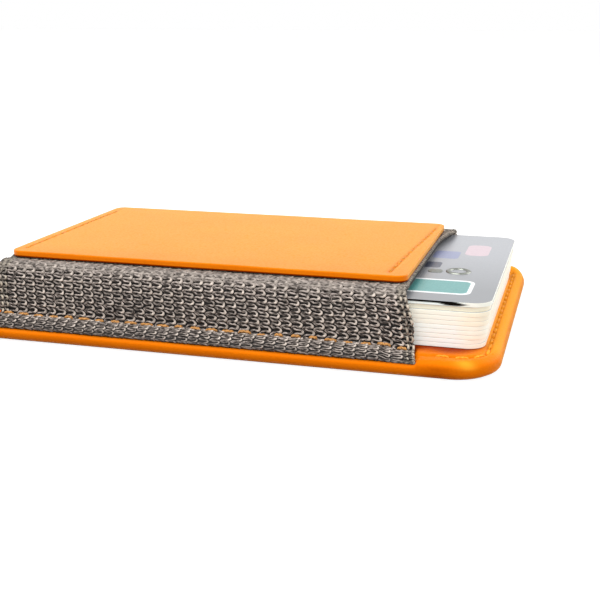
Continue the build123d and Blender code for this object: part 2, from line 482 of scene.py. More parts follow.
@dataclass(frozen=True)
class Fibrous(Finish):
    """A matt finish whose tone and relief both follow one fibre.

    Attributes:
        low_tone: Tone between the fibres.
        high_tone: Tone on them.
        gloss: Strength of its shine.
        nap: Strength of its soft sheen.
        fibre_mm: Size of a fibre.
        detail: Octaves of finer fibres.
        reach: Fibre values where one tone starts and the other ends.
        relief_mm: Depth of the fibres.
        relief: Share of that depth that shows.
    """

    low_tone: str
    high_tone: str
    gloss: float = 0.5
    nap: float = 0.0
    fibre_mm: float = 0.22
    detail: float = 3.0
    reach: tuple[float, float] = (0.3, 0.7)
    relief_mm: float = 0.03
    relief: float = 0.5

    def values(self, tree: Tree) -> dict:
        """Work out the finish's shader values.

        Args:
            tree: Node tree.

        Returns:
            Number, colour or socket for each input of the main shader.
        """
        fibre = pattern(tree, "TexNoise", self.fibre_mm, Detail=self.detail)
        relief = {"Height": fibre, "Distance": self.relief_mm * MM, "Strength": self.relief}
        return {
            "Base Color": tint(tree, self.low_tone, self.high_tone, fibre, 1, *self.reach),
            "Normal": add_node(tree, "Bump", relief),
            "Specular IOR Level": self.gloss,
            "Sheen Weight": self.nap,
        }


@dataclass(frozen=True)
class TwistedThread(Fibrous):
    """Bonded polyester sewing thread in two plies.

    The bonding gives it a slight shine, and its filaments give it fine streaks. They are
    about 0.02 mm thick, too fine to show, and are drawn ten times coarser.
    """


@dataclass(frozen=True)
class MicrofibreLining(Fibrous):
    """Brushed microfibre, which the cards slide along: matt, with a soft short nap.

    Single fibres are too fine to show, so the nap is drawn in tufts of 0.2 mm.
    """

    low_tone: str = "#8F5519"
    high_tone: str = "#B9762F"
    nap: float = 0.3
    fibre_mm: float = 0.2
    detail: float = 4.0
    relief_mm: float = 0.04
    relief: float = 0.6


@dataclass(frozen=True)
class PressedBoard(Fibrous):
    """Grey pulp board, pressed from recycled paper: darker flecks of fibre, matt all over.

    The flecks are nearly a millimetre long, as in the real board.
    """

    low_tone: str = "#B7AE9E"
    high_tone: str = "#857B6B"
    fibre_mm: float = 0.9
    detail: float = 6.0
    reach: tuple[float, float] = (0.4, 0.62)
    relief_mm: float = 0.05


@dataclass(frozen=True)
class PlatedMetal(Finish):
    """Metal with an electroplated or rolled skin: bright, with a fine drawn haze.

    The drawing marks are about 0.02 mm apart, too fine to show, and are drawn at 0.1 mm.
    """

    tone: str = "#C9C5BC"
    haze_tone: str = "#A8A39A"
    haze_mm: float = 1.2
    scratch_mm: float = 0.1
    scratch_relief_mm: float = 0.004

    def values(self, tree: Tree) -> dict:
        """Work out the metal's shader values.

        Args:
            tree: Node tree.

        Returns:
            Number, colour or socket for each input of the main shader.
        """
        haze = pattern(tree, "TexNoise", self.haze_mm, Detail=5.0)
        rough = {1: 0.3, 2: 0.7, 3: self.roughness - 0.08, 4: self.roughness + 0.12}
        scratches = pattern(tree, "TexNoise", self.scratch_mm)
        relief = {"Height": scratches, "Distance": self.scratch_relief_mm * MM, "Strength": 0.4}
        return {
            "Base Color": tint(tree, self.haze_tone, self.tone, haze),
            "Metallic": 1.0,
            "Roughness": add_node(tree, "MapRange", {0: haze, **rough}),
            "Normal": add_node(tree, "Bump", relief),
        }


@dataclass(frozen=True)
class LaminatedCard(Finish):
    """Card of hot-pressed PVC sheets, punched out.

    The punched edge shows the white core between two thin clear films, as faint lines,
    and the mark named level holds the height in the card from 0 to 1. One mark says
    where the edge is painted dark, in a wedge, and one how far an edge is tinted a warmer
    cream. A faint cool glow is painted light, which keeps the pile white over the orange
    leather.
    """

    ink_tone: str = "#14110F"
    core_tone: str = "#F6FFFB"
    film_tone: str = "#F0EADA"
    scuff_tone: str = "#F0F0E2"
    aged_tone: str = "#FDEFD2"
    # A faint cool glow: painted light
    glow_tone: str = "#C8F0FF"
    glow: float = 0.1
    gloss: float = 0.4
    film_shares: tuple[float, float] = (0.1, 0.88)  # of the height, where the films end
    scuff_mm: float = 3.5
    peel_mm: float = 0.3
    peel_relief_mm: float = 0.01

    def values(self, tree: Tree) -> dict:
        """Work out the card's shader values.

        Args:
            tree: Node tree.

        Returns:
            Number, colour or socket for each input of the main shader.
        """
        level = add_node(tree, "Attribute", out="Fac", attribute_name="level")
        layers = add_node(tree, "ValToRGB", {0: level})
        stops = layers.node.color_ramp.elements
        places = (0.0, *self.film_shares, 1.0)
        tones = (self.film_tone, self.core_tone, self.core_tone, self.film_tone)
        for number, (place, tone) in enumerate(zip(places, tones)):
            stop = stops[number] if number < 2 else stops.new(place)
            stop.position, stop.color = place, linear(tone)
        scuff = pattern(tree, "TexNoise", self.scuff_mm, Detail=3.0)
        core = tint(tree, layers, self.scuff_tone, scuff, 0.5, 0.45, 0.7)
        colour, _, ink = stain(tree, core, aged=self.aged_tone, ink=self.ink_tone)
        peel = pattern(tree, "TexNoise", self.peel_mm, Detail=3.0)
        relief = {"Height": peel, "Distance": self.peel_relief_mm * MM, "Strength": 0.5}
        gloss, glow = (
            add_node(tree, "MapRange", {0: ink, 3: whole, 4: 0.0})
            for whole in (self.gloss, self.glow)
        )
        return {
            "Base Color": colour,
            "Normal": add_node(tree, "Bump", relief),
            "Specular IOR Level": gloss,
            "Emission Color": self.glow_tone,
            "Emission Strength": glow,
        }


@dataclass(frozen=True)
class PrintedFilm(Finish):
    """Silk-screened card face under a clear film: even ink with a faint fine screen grain.

    The screen's threads are about 0.1 mm apart, too fine to show, and are drawn three
    times coarser. The mark named across runs from 0 at a card's far edge to 1 at its near
    edge, toward which the face is darkened with painted shade.
    """

    tone: str = "#A6A8AD"
    grain_tone: str = "#9B9DA3"
    dense_tone: str = "#84868A"
    grain_mm: float = 0.3
    sweep_mm: float = 14.0

    def values(self, tree: Tree) -> dict:
        """Work out the printed face's shader values.

        Args:
            tree: Node tree.

        Returns:
            Number, colour or socket for each input of the main shader.
        """
        grain = pattern(tree, "TexNoise", self.grain_mm, Detail=3.0)
        sweep = pattern(tree, "TexNoise", self.sweep_mm, Detail=1.0)
        across = add_node(tree, "Attribute", out="Fac", attribute_name="across")
        colour = tint(tree, self.tone, self.grain_tone, grain, 0.6, 0.35, 0.65)
        colour = tint(tree, colour, self.grain_tone, sweep, 0.35, 0.4, 0.7)
        # Painted shade, darker toward the card's near edge
        colour = tint(tree, colour, self.dense_tone, across, 1, 0.35, 0.85)
        rough = {0: grain, 3: self.roughness - 0.03, 4: self.roughness + 0.05}
        return {
            "Base Color": colour,
            "Roughness": add_node(tree, "MapRange", rough),
            "Coat Weight": 0.15,
            "Coat Roughness": 0.2,
        }


@dataclass(frozen=True)
class StudioPaper(Finish):
    """Pale paper roll under the holder, which keeps the holder's shadow.

    To the camera it is lifted to white by an even glow, which lights nothing.
    """

    tone: str = "#A09F9D"
    fibre_tone: str = "#A8A7A5"
    fibre_mm: float = 30.0
    lift: float = 0.83

    def shader(self, tree: Tree) -> Socket:
        """Build the paper's nodes.

        Args:
            tree: Node tree.

        Returns:
            The shader's socket.
        """
        fibre = pattern(tree, "TexNoise", self.fibre_mm, Detail=3.0)
        colour = tint(tree, self.tone, self.fibre_tone, fibre, 0.1)
        paper = add_node(tree, "BsdfDiffuse", {"Color": colour, "Roughness": self.roughness})
        glow = add_node(tree, "Emission", {"Color": "#FFFFFF", "Strength": self.lift})
        lifted = add_node(tree, "AddShader", {0: paper, 1: glow})
        return add_node(tree, "MixShader", {0: seen_rays(tree), 1: paper, 2: lifted})


LEATHER = EmbossedLeather("embossed_spray_dyed_leather", 0.38)
# A copy of the leather, darker and with less sheen, for the back panel: painted shade
WAXED_LEATHER = EmbossedLeather(
    "embossed_waxed_leather", 0.46, "#EE7A06", "#EA7404", "#D86802", "#FFC21E", 0.8, 0.1
)
YARN = SpunYarn("textured_polyester_yarn", 0.62)
# A darker copy of the face yarn for the selvages and the binding: painted shade
EDGE_YARN = SpunYarn("overlocked_polyester_yarn", 0.68, "#968C83", "#27221F", "#EFE1CC")
# A near-black copy of the rubber for the ground's face and cut ends: painted shade between the
# yarns; the bare back has the lit tone
RUBBER = CoveredRubber("covered_rubber_ground_weave", 0.8)
RUBBER_BACK = CoveredRubber("covered_rubber_bare_back", 0.8, "#8F8781", "#5B544F")
BAND_THREAD = TwistedThread("bonded_polyester_thread_amber", 0.6, "#8A5F34", "#E2A562", 0.12)
SEAM_THREAD = TwistedThread("bonded_polyester_thread_orange", 0.5, "#92571A", "#F4A434", 0.2)
RIM_THREAD = TwistedThread(
    "bonded_polyester_thread_light_orange", 0.5, "#D67E0A", "#FFB02C", 0.14
)
LINING = MicrofibreLining("brushed_microfibre_lining", 0.9)
BOARD = PressedBoard("pressed_pulp_board", 0.92)
NICKEL = PlatedMetal("nickel_plated_magnet", 0.24)
STEEL = PlatedMetal("cold_rolled_steel_strip", 0.34, "#A9ABAE", "#84878B", 2.5)
FOIL = PlatedMetal("silver_tipping_foil", 0.3, "#A3A69E", "#6B6E67", 0.5)
CARD = LaminatedCard("hot_pressed_pvc_card", 0.38)
FACE = PrintedFilm("silk_screened_card_face", 0.3)
BLANK = PrintedFilm("matt_laminated_card_face", 0.4, "#DADDDC", "#D0D4D4")
WHITE, TEAL, PINK, LILAC, SLATE = (
    PrintedFilm(f"silk_screened_{name}_ink", 0.3, tone, grain_tone)
    for name, tone, grain_tone in (
        ("white", "#F1F3F4", "#E3E7E9"),
        ("teal", "#5A9C9A", "#4A8A87"),
        ("pink", "#CEBAC1", "#C3ADB5"),
        ("lilac", "#8C92B0", "#7B82A4"),
        ("slate", "#454A5C", "#3A3E4E"),
    )
)
PAPER = StudioPaper("studio_paper_roll", 1.0)


def make_piece(
    name: str, shape: Shape, *finishes: Finish, marks: dict[str, Array] | None = None,
    finish_of: Array | None = None, crease_angle: float | None = None,
) -> bpy.types.Object:
    """Make a mesh object in the scene.

    Args:
        name: Name of the piece.
        shape: Its points and faces.
        finishes: Finishes that the faces wear.
        marks: Values for each point that the finishes read, by name.
        finish_of: Number of each face's finish, where there is more than one.
        crease_angle: Angle in degrees from which an edge stays sharp, or None.

    Returns:
        The new object.
    """
    mesh = bpy.data.meshes.new(name)
    points, faces = shape
    mesh.from_pydata((np.asarray(points, float) * MM).tolist(), [], faces, shade_flat=False)
    for mark, values in (marks or {}).items():
        values = np.asarray(values, np.float32)
        kind, part = ("FLOAT", "value") if values.ndim == 1 else ("FLOAT_VECTOR", "vector")
        mesh.attributes.new(mark, kind, "POINT").data.foreach_set(part, values.ravel())
    for finish in finishes:
        mesh.materials.append(finish.material())
    if finish_of is not None:
        mesh.polygons.foreach_set("material_index", np.asarray(finish_of, np.int32))
    if crease_angle is not None:
        mesh.set_sharp_from_angle(angle=math.radians(crease_angle))
    mesh.validate()
    made = bpy.data.objects.new(name, mesh)
    bpy.context.scene.collection.objects.link(made)
    return made


def settle(piece: bpy.types.Object, body: str, slot: Slot, *nodes: str) -> None:
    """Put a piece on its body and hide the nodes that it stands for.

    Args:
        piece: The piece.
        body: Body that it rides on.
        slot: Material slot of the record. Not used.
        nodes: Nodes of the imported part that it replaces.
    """
    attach(piece, str(body))
    if nodes:
        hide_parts(*nodes)
    LOG.info("%s rides on %s, %d points", piece.name, body, len(piece.data.vertices))


def loft(rings: list[Array], endless: bool = False) -> Shape:
    """Join rings of points with quads.

    Args:
        rings: Rings with the same number of points, counter-clockwise from below.
        endless: Whether the last ring joins the first. If not, both ends are closed.

    Returns:
        The shape.
    """
    count, total = len(rings[0]), len(rings) * len(rings[0])
    here = np.arange(count)
    after = (here + 1) % count
    faces: Faces = [] if endless else [here[::-1].tolist()]
    for low in range(0, total if endless else total - count, count):
        high = (low + count) % total
        quads = np.stack((low + here, low + after, high + after, high + here), 1)
        faces += quads.tolist()
    if not endless:
        faces.append((total - count + here).tolist())
    return np.concatenate(rings), faces


def join(shapes: list[Shape]) -> Shape:
    """Join shapes into one, in their order.

    Args:
        shapes: The shapes.

    Returns:
        All their points and faces.
    """
    faces: Faces = []
    start = 0
    for points, more in shapes:
        faces += [[start + number for number in face] for face in more]
        start += len(points)
    return np.concatenate([points for points, _ in shapes]), faces


def sweep(
    paths: Array, normals: Array, width: Array, height: Array, sides: int
) -> tuple[Shape, Array]:
    """Sweep a flattened round section along many paths at once.

    Args:
        paths: Centre lines, as paths by points by 3.
        normals: Directions that the section's height follows, in the same shape.
        width: Half width of the section for each path and point.
        height: Half height of the section for each path and point.
        sides: Points round the section.

    Returns:
        The shape, and each point's place along and round its path.
    """
    tangents = np.gradient(paths, axis=1)
    tangents /= np.linalg.norm(tangents, axis=2, keepdims=True)
    across = np.cross(tangents, normals)
    across /= np.linalg.norm(across, axis=2, keepdims=True)
    upward = np.cross(across, tangents)
    turn = np.arange(sides) / sides
    angles = FULL * turn - QUARTER
    rings = (
        paths[:, :, None, :]
        + across[:, :, None, :] * (width[..., None] * np.cos(angles))[..., None]
        + upward[:, :, None, :] * (height[..., None] * np.sin(angles))[..., None]
    )
    count, length = paths.shape[:2]
    ring = np.arange(sides)
    after = (ring + 1) % sides
    base = np.arange(count)[:, None] * length + np.arange(length - 1)
    base = base[..., None] * sides
    quads = (base + ring, base + sides + ring, base + sides + after, base + after)
    faces: Faces = np.stack(quads, -1).reshape(-1, 4).tolist()
    for first in np.arange(count) * length * sides:
        last = first + (length - 1) * sides
        faces += [(first + ring).tolist(), (last + ring[::-1]).tolist()]
    along = np.stack([runs_along(path) for path in paths])
    apart = np.arange(count)[:, None, None] * 0.37
    place = np.stack(np.broadcast_arrays(along[..., None], turn, apart), -1)
    return (rings.reshape(-1, 3), faces), place.reshape(-1, 3)


@dataclass
class Shell:
    """A closed skin that is gathered ring by ring, from below to above.

    Attributes:
        rings: The points of each ring.
        marks: The values of each mark, ring by ring.
    """

    rings: list[Array] = field(default_factory=list)
    marks: dict[str, list[Array]] = field(default_factory=dict)

    def add(self, flat: Array, z: Array | float, **marks: Array | float) -> None:
        """Add a ring.

        Args:
            flat: Its points seen from above.
            z: Their height.
            marks: Their marks by name.
        """
        self.rings.append(np.column_stack((flat, np.broadcast_to(z, len(flat)))))
        for name, values in marks.items():
            self.marks.setdefault(name, []).append(np.broadcast_to(values, len(flat)))

    def all_marks(self) -> dict[str, Array]:
        """Return each mark's values for all points."""
        return {name: np.concatenate(values) for name, values in self.marks.items()}


@dataclass(frozen=True)
class RoundedPlan:
    """A rounded rectangle seen from above, walked counter-clockwise.

    Attributes:
        half_x: Half length along X.
        half_y: Half width along Y.
        corner: Corner radius.
        centre_x: Place of its centre along X.
        spacing: Distance between points on the straight sides.
        corner_points: Points on each corner.
    """

    half_x: float
    half_y: float
    corner: float
    centre_x: float = 0.0
    spacing: float = 0.4
    corner_points: int = 28

    def ring(self, inset: float) -> Array:
        """Walk round the outline.

        Args:
            inset: How far the outline is moved inwards.

        Returns:
            The points, as many for every inset.
        """
        half_x, half_y = self.half_x - inset, self.half_y - inset
        corner = min(max(self.corner - inset, 0.15 * self.corner), half_x, half_y)
        reach_x, reach_y = half_x - corner, half_y - corner
        count_x, count_y = (
            max(2, round(2 * (half - self.corner) / self.spacing))
            for half in (self.half_x, self.half_y)
        )
        quarters = ((count_y, 1, 1), (count_x, -1, 1), (count_y, -1, -1), (count_x, 1, -1))
        points = []
        for quarter, (count, x, y) in enumerate(quarters):
            run = 2 * np.arange(count) / count - 1
            if quarter % 2 == 0:
                points.append(np.stack((np.full(count, x * half_x), x * run * reach_y), 1))
            else:
                points.append(np.stack((-y * run * reach_x, np.full(count, y * half_y)), 1))
            turn = (quarter + np.arange(self.corner_points) / self.corner_points) * QUARTER
            centre = np.array((x * reach_x, y * reach_y))
            points.append(centre + corner * circle(turn))
        return np.concatenate(points) + (self.centre_x, 0)

    def outward(self) -> Array:
        """Return the outward directions at the outline's points."""
        step = min(0.01, self.corner / 2)
        return (self.ring(0) - self.ring(step)) / step

    def distance(self, flat: Array) -> Array:
        """Measure how far places lie outside the outline.

        Args:
            flat: The places seen from above.

        Returns:
            Distances, negative inside.
        """
        across = np.abs(flat[:, 0] - self.centre_x) - (self.half_x - self.corner)
        along = np.abs(flat[:, 1]) - (self.half_y - self.corner)
        outside = np.hypot(np.maximum(across, 0), np.maximum(along, 0))
        return outside + np.minimum(np.maximum(across, along), 0) - self.corner


@dataclass(frozen=True)
class Stitching:
    """A row of thread dashes, each a twisted thread that dives into the leather at its ends.

    Attributes:
        length: Length of a dash.
        width: Width of the thread.
        height: Height of the thread.
        dive: Depth that a dash's ends go down.
        points: Points along a dash.
        sides: Points round the thread.
        twist: Length of one full turn of the two plies.
        lobe: Share by which the two plies swell the thread.
        unevenness: Share of the usual unevenness of sewing guided by eye.
        length_play: Most that a dash is shorter or longer, as shares of its length.
        bend_play: Most that its middle lies beside the row.
        aim_play: Most that its heading is off, in degrees.
    """

    length: float = 2.2
    width: float = 0.44
    height: float = 0.34
    dive: float = 0.3
    points: int = 19
    sides: int = 12
    twist: float = 1.5
    lobe: float = 0.16
    unevenness: float = 0.6
    length_play: tuple[float, float] = (-0.16, 0.08)
    bend_play: float = 0.12
    aim_play: float = 4.0

    def dashes(self, row: Array, rng: np.random.Generator) -> Shape:
        """Build the dashes of one row.

        Args:
            row: X, Y and Z of each dash's underside, and its heading in degrees from X.
            rng: Source of the small differences between the dashes.

        Returns:
            The shape.
        """
        share = np.linspace(-1, 1, self.points)
        turn = FULL * np.arange(self.sides) / self.sides
        slim = np.sqrt(np.clip(1.02 - np.abs(share) ** 8, 0.05, 1))[:, None]
        rise = self.height / 2 - self.dive * np.abs(share) ** 5
        shapes = []
        for *place, heading in row:
            length = self.length * (1 + self.unevenness * rng.uniform(*self.length_play))
            bend = self.unevenness * rng.uniform(-self.bend_play, self.bend_play)
            phase = rng.uniform(0, math.pi)
            along = (share * length / 2)[:, None]
            lobes = 1 + self.lobe * np.cos(2 * (turn - FULL * along / self.twist) + phase)
            across = self.width / 2 * slim * lobes * np.cos(turn)
            upward = rise[:, None] + self.height / 2 * slim * lobes * np.sin(turn)
            across = across + (bend * (1 - share**2))[:, None]
            off = self.unevenness * rng.uniform(-self.aim_play, self.aim_play)
            aim = math.radians(heading + off)
            x = place[0] + along * math.cos(aim) - across * math.sin(aim)
            y = place[1] + along * math.sin(aim) + across * math.cos(aim)
            shapes.append(loft(np.stack((x, y, place[2] + upward), -1)))
        return join(shapes)

    def holes(self, row: Array) -> Array:
        """Find where the needle went through, at both ends of each dash.

        Args:
            row: The row of dashes.

        Returns:
            Places seen from above.
        """
        reach = self.length / 2 * circle(np.radians(row[:, 3]))
        return np.concatenate((row[:, :2] - reach, row[:, :2] + reach))


def dimples(flat: Array, holes: Array, radius: float) -> Array:
    """Work out how deep the leather is drawn in round needle holes.

    Args:
        flat: Places seen from above.
        holes: Places of the holes.
        radius: Radius of a dimple.

    Returns:
        Shares from 0 to 1 for each place.
    """
    drawn = np.zeros(len(flat))
    for hole in holes:
        near = np.all(np.abs(flat - hole) < 3 * radius, axis=1)
        depth = ridge(np.hypot(*(flat[near] - hole).T), radius)
        drawn[near] = np.maximum(drawn[near], depth)
    return drawn


def stitch_row(run: float, pitch: float) -> Array:
    """Return the places of the dashes of a straight seam of this length, centred on zero."""
    count = int(run // pitch)
    return (np.arange(count) - (count - 1) / 2) * pitch


@dataclass(frozen=True)
class BackPanel:
    """The leather back panel: a turned top leather, sewn all round, and a flat underside."""

    rng: np.random.Generator  # source of the seam's unevenness
    length: float = 97.0
    width: float = 69.5
    corner: float = 8.0
    top_z: float = 3.2
    pressed_z: float = 2.1
    rise_z: float = 0.25
    roll_top: float = 1.4
    roll_pressed: float = 0.55
    roll_bottom: float = 1.2
    bottom_inset: float = 1.3
    seat_y: float = 27.28
    seat_rear_x: float = -44.2
    seat_mouth_x: float = 34.9
    seat_slant: float = 0.2
    seam_x: float = 46.2
    seam_y: float = 31.35
    seam_corner: float = 4.6
    seam_start_x: float = 37.7
    rear_row_run: float = 54.5
    pitch: float = 3.05
    groove_z: float = 2.9
    groove_depth: float = 0.3
    groove_width: float = 0.42
    hole_radius: float = 0.3
    hole_depth: float = 0.2
    under_groove_depth: float = 0.2
    under_groove_width: float = 0.4
    under_hole_radius: float = 0.35
    margin: tuple[float, float] = (27.8, 30.5)  # along Y, from beside the cards to the seam
    swell: float = 0.05  # of the leather on both sides of the groove
    far_swell: float = 0.34  # more of it outside the groove on the far side
    hem_end_dip: float = 0.12
    unevenness: float = 0.02
    unevenness_length: float = 9.0
    corner_lift: float = 0.5
    lift_x: tuple[float, float] = (36.0, 46.0)
    lift_y: tuple[float, float] = (27.3, 31.5)
    mouth_end: tuple[float, float] = (36.0, 40.0)  # along X, where the sleeve covers it no more
    tight_spot: tuple[float, float] = (43.6, 33.8)  # where a glint is painted on the corners' shoulders
    grip_x: float = 39.2  # where the lower edges get the most painted shade
    grip_wear: float = 0.42
    hem_wear: float = 0.14
    cards: RoundedPlan = RoundedPlan(42.8, 27.0, 3.2)
    stitching: Stitching = Stitching(2.4, 0.54, 0.34)
    under_stitching: Stitching = Stitching(height=0.16, dive=0.1)

    def seam_row(self) -> Array:
        """Lay the seam's dashes round the mouth end and across the rear.

        Returns:
            The row of dashes.
        """
        straight = self.seam_x - self.seam_corner - self.seam_start_x
        arc = self.seam_corner * QUARTER
        side = 2 * (self.seam_y - self.seam_corner)
        total = 2 * straight + 2 * arc + side
        count = int(total // self.pitch)
        dashes = []
        for number in range(count):
            run = (number + 0.5) / count * total
            mirrored = run > total / 2
            run = total - run if mirrored else run
            if run < straight:
                x, y, heading = self.seam_start_x + run, -self.seam_y, 0.0
            elif run < straight + arc:
                turn = (run - straight) / self.seam_corner
                x = self.seam_x - self.seam_corner + self.seam_corner * math.sin(turn)
                y = -self.seam_y + self.seam_corner - self.seam_corner * math.cos(turn)
                heading = math.degrees(turn)
            else:
                x, y, heading = self.seam_x, -side / 2 + run - straight - arc, 90.0
            dashes.append((x, -y, 180 - heading) if mirrored else (x, y, heading))
        dashes += [(-self.seam_x, y, 90.0) for y in stitch_row(self.rear_row_run, self.pitch)]
        return np.insert(np.array(dashes), 2, self.groove_z, axis=1)

    def seam(self) -> RoundedPlan:
        """Return the line of the seam."""
        return RoundedPlan(self.seam_x, self.seam_y, self.seam_corner)

    def holes(self) -> Array:
        """Return the seam's needle holes."""
        return self.stitching.holes(self.seam_row())

    def pressed(self, flat: Array) -> Array:
        """Work out how far the leather is pressed down under the hems.

        Args:
            flat: Places seen from above.

        Returns:
            Shares from 0 to 1.
        """
        x, y = flat[:, 0], np.abs(flat[:, 1])
        across = smooth_step(self.seat_y, self.seat_y + 0.14, y)
        rear = smooth_step(self.seat_rear_x - 1.6, self.seat_rear_x, x)
        hem_end = self.seat_mouth_x + self.seat_slant * (y - 31.85)
        # Past the hem's end a steep step comes first, and a gentle one after it
        mouth = 1 - 0.86 * smooth_step(hem_end, hem_end + 0.4, x)
        mouth = mouth - 0.14 * smooth_step(hem_end + 0.4, hem_end + 2.8, x)
        return across * rear * mouth

    def top_height(self, flat: Array) -> tuple[Array, Array]:
        """Work out the top leather's height and the shade painted into its creases.

        Args:
            flat: Places seen from above.

        Returns:
            Heights, and the painted crease shade from 0 to 1.
        """
        x, y = flat.T
        pressed = self.pressed(flat)
        free = 1 - pressed
        out = self.seam().distance(flat)
        groove = ridge(out, self.groove_width)
        # The leather swells on both sides of the groove, most outside it on the far side
        rim = (self.swell + self.far_swell * smooth_step(*self.margin, y)) * ridge(out - 1.15, 0.85)
        inner = self.swell * ridge(out + 1.0, 0.6)
        drawn = dimples(flat, self.holes(), self.hole_radius)
        dip = ridge(x - self.seat_mouth_x - 2.1, 0.8) * smooth_step(*self.margin, np.abs(y))
        height = self.top_z - (self.top_z - self.pressed_z) * pressed
        relief = rim + inner - self.groove_depth * groove - self.hole_depth * drawn
        height = height + free * (relief - self.hem_end_dip * dip)
        height = height + self.unevenness * waves(x, y, self.unevenness_length)
        lifted = smooth_step(*self.lift_y, y) * smooth_step(*self.lift_x, x)
        # Painted shade in the groove, the needle holes and under the hems
        crease = free * (0.14 * groove**2 + 0.58 * drawn) + 0.15 * pressed
        return height + self.corner_lift * lifted, np.clip(crease, 0, 1)

    def stretch(self, points: Array) -> Array:
        """Work out the painted light over the mouth end's top and the painted glint on its corners.

        Args:
            points: The leather's points.

        Returns:
            Shares from 0 to 1.
        """
        x, y, z = points.T
        # Painted light over the top of the mouth end
        over = smooth_step(self.top_z - 0.75, self.top_z - 0.2, z)
        end = over * smooth_step(-30.5, -22, y) * smooth_step(*self.mouth_end, x)
        # A painted glint on the corners' shoulders
        tight_x, tight_y = self.tight_spot
        tight = ridge(np.hypot((x - tight_x) / 1.9, np.abs(y) - tight_y), 0.9)
        return np.maximum(end, 0.9 * tight * smooth_step(1.6, 2.4, z))

    def wear(self, points: Array) -> Array:
        """Work out the painted shade on the leather.

        It is darkest beside the cards, as a painted shadow, and lighter low on the long sides
        and under the hems, as painted shade.

        Args:
            points: The leather's points.

        Returns:
            Shares from 0 to 1.
        """
        x, y, z = points[:, 0], np.abs(points[:, 1]), points[:, 2]
        corner = smooth_step(*self.mouth_end, x)
        beyond = self.cards.distance(points)
        # Painted shadow of the cards on the leather beside them
        beside = 1 - smooth_step(0, 1, (beyond - 0.8 * corner) / (3.6 + 0.4 * corner))
        beside = beside * smooth_step(18, 26.5, y) * (z > 2)
        # Painted shade low on the long sides
        held = ridge(x - self.grip_x, 3.4) * (1 - smooth_step(2.0, 2.8, z))
        held = self.grip_wear * held * smooth_step(33, 34.2, y)
        # Painted shadow of the hems on the side below them
        hem = 1 - smooth_step(33, 37, x)
        under_hem = self.hem_wear * smooth_step(1.2, 2.4, z) * smooth_step(32.6, 33.8, y) * hem
        return np.maximum(beside, np.maximum(held, under_hem))

    def build(self) -> None:
        """Build the top leather, the underside and the seam."""
        self.build_top()
        self.build_underside()
        self.build_seam()

    def build_top(self) -> None:
        """Build the top leather, from its turned edge below to the middle of its top."""
        plan = RoundedPlan(self.length / 2, self.width / 2, self.corner)
        outline, outward = plan.ring(0), plan.outward()
        first_inset = self.roll_top + 0.12
        near = outline - outward * first_inset
        edge_top, _ = self.top_height(near)
        pressed = self.pressed(near)
        roll = self.roll_top + (self.roll_pressed - self.roll_top) * pressed
        shell = Shell()
        # Painted shade under the turned edge
        for inset, rise, crease in ((0.5, 0.06, 0.6), (0.02, 0.02, 0.5)):
            flat = plan.ring(self.bottom_inset + inset)
            shell.add(flat, self.rise_z + rise, crease=crease)
        for turn in np.linspace(-QUARTER, 0, 9):
            rise = self.roll_bottom * (1 + math.sin(turn))
            flat = plan.ring(self.roll_bottom * (1 - math.cos(turn)))
            shell.add(flat, self.rise_z + rise, crease=0.0)
        for turn in np.linspace(0, QUARTER, 12):
            flat = outline - outward * (roll * (1 - math.cos(turn)))[:, None]
            # Painted shade on the roll under the hems
            crease = 0.3 * pressed * (turn > 1.2)
            shell.add(flat, edge_top - roll * (1 - math.sin(turn)), crease=crease)
        fine = np.arange(first_inset, self.corner - 0.1, 0.14)
        step = self.width / 2 - self.seat_y + np.array((-0.2, -0.1, 0, 0.1))
        insets = np.concatenate((fine, step, (8.2, 9.5, 12, 16, 22, 28, 34)))
        for inset in np.unique(np.round(insets, 3)):
            flat = plan.ring(inset)
            z, crease = self.top_height(flat)
            shell.add(flat, z, crease=crease)
        points, faces = loft(shell.rings)
        marks = {"stretch": self.stretch(points), "wear": self.wear(points)}
        marks |= shell.all_marks()
        piece = make_piece("back_panel_top", (points, faces), WAXED_LEATHER, marks=marks)
        settle(piece, Body.HOLDER, Slot.LEATHER, "back_top_leather")

    def build_underside(self) -> None:
        """Build the flat bottom leather, with the seam's groove across it."""
        half_x, half_y, corner = (
            size - self.bottom_inset for size in (self.length / 2, self.width / 2, self.corner)
        )
        plan = RoundedPlan(half_x, half_y, corner)
        top = self.rise_z + 0.1
        shell = Shell()
        shell.add(plan.ring(0.6), top, crease=0.0)
        # Painted shade along the edge
        for inset, z in ((0.05, top), (0.0, top - 0.06), (0.0, 0.08), (0.03, 0.02), (0.1, 0.0)):
            shell.add(plan.ring(inset), z, crease=0.15)
        for inset in (*np.arange(0.25, 4.6, 0.2), 5.5, 8, 13, 20, 27, 33):
            flat = plan.ring(inset)
            groove = ridge(self.seam().distance(flat), self.under_groove_width)
            drawn = dimples(flat, self.holes(), self.under_hole_radius)
            # Painted shade in the groove and the needle holes
            crease = np.clip(0.3 * groove + 0.4 * drawn, 0, 1)
            shell.add(flat, self.under_groove_depth * groove + 0.05 * drawn, crease=crease)
        points, faces = loft(shell.rings)
        shape = points, [face[::-1] for face in faces]
        piece = make_piece(
            "back_panel_underside", shape, WAXED_LEATHER, marks=shell.all_marks(),
            crease_angle=60,
        )
        settle(piece, Body.HOLDER, Slot.LEATHER, "back_bottom_leather")

    def build_seam(self) -> None:
        """Build the seam's dashes, above and in the groove of the underside."""
        row = self.seam_row()
        raised = row.copy()
        raised[:, 2] += 0.1 * smooth_step(28.5, 30.5, np.abs(row[:, 1]))
        above = self.stitching.dashes(raised, self.rng)
        points, faces = self.under_stitching.dashes(row, self.rng)
        points[:, 2] = 0.21 - (points[:, 2] - self.groove_z)
        shape = join([above, (points, [face[::-1] for face in faces])])
        piece = make_piece("seam_back_panel", shape, RIM_THREAD)
        settle(piece, Body.HOLDER, Slot.LEATHER_THREAD, "edge_stitching")


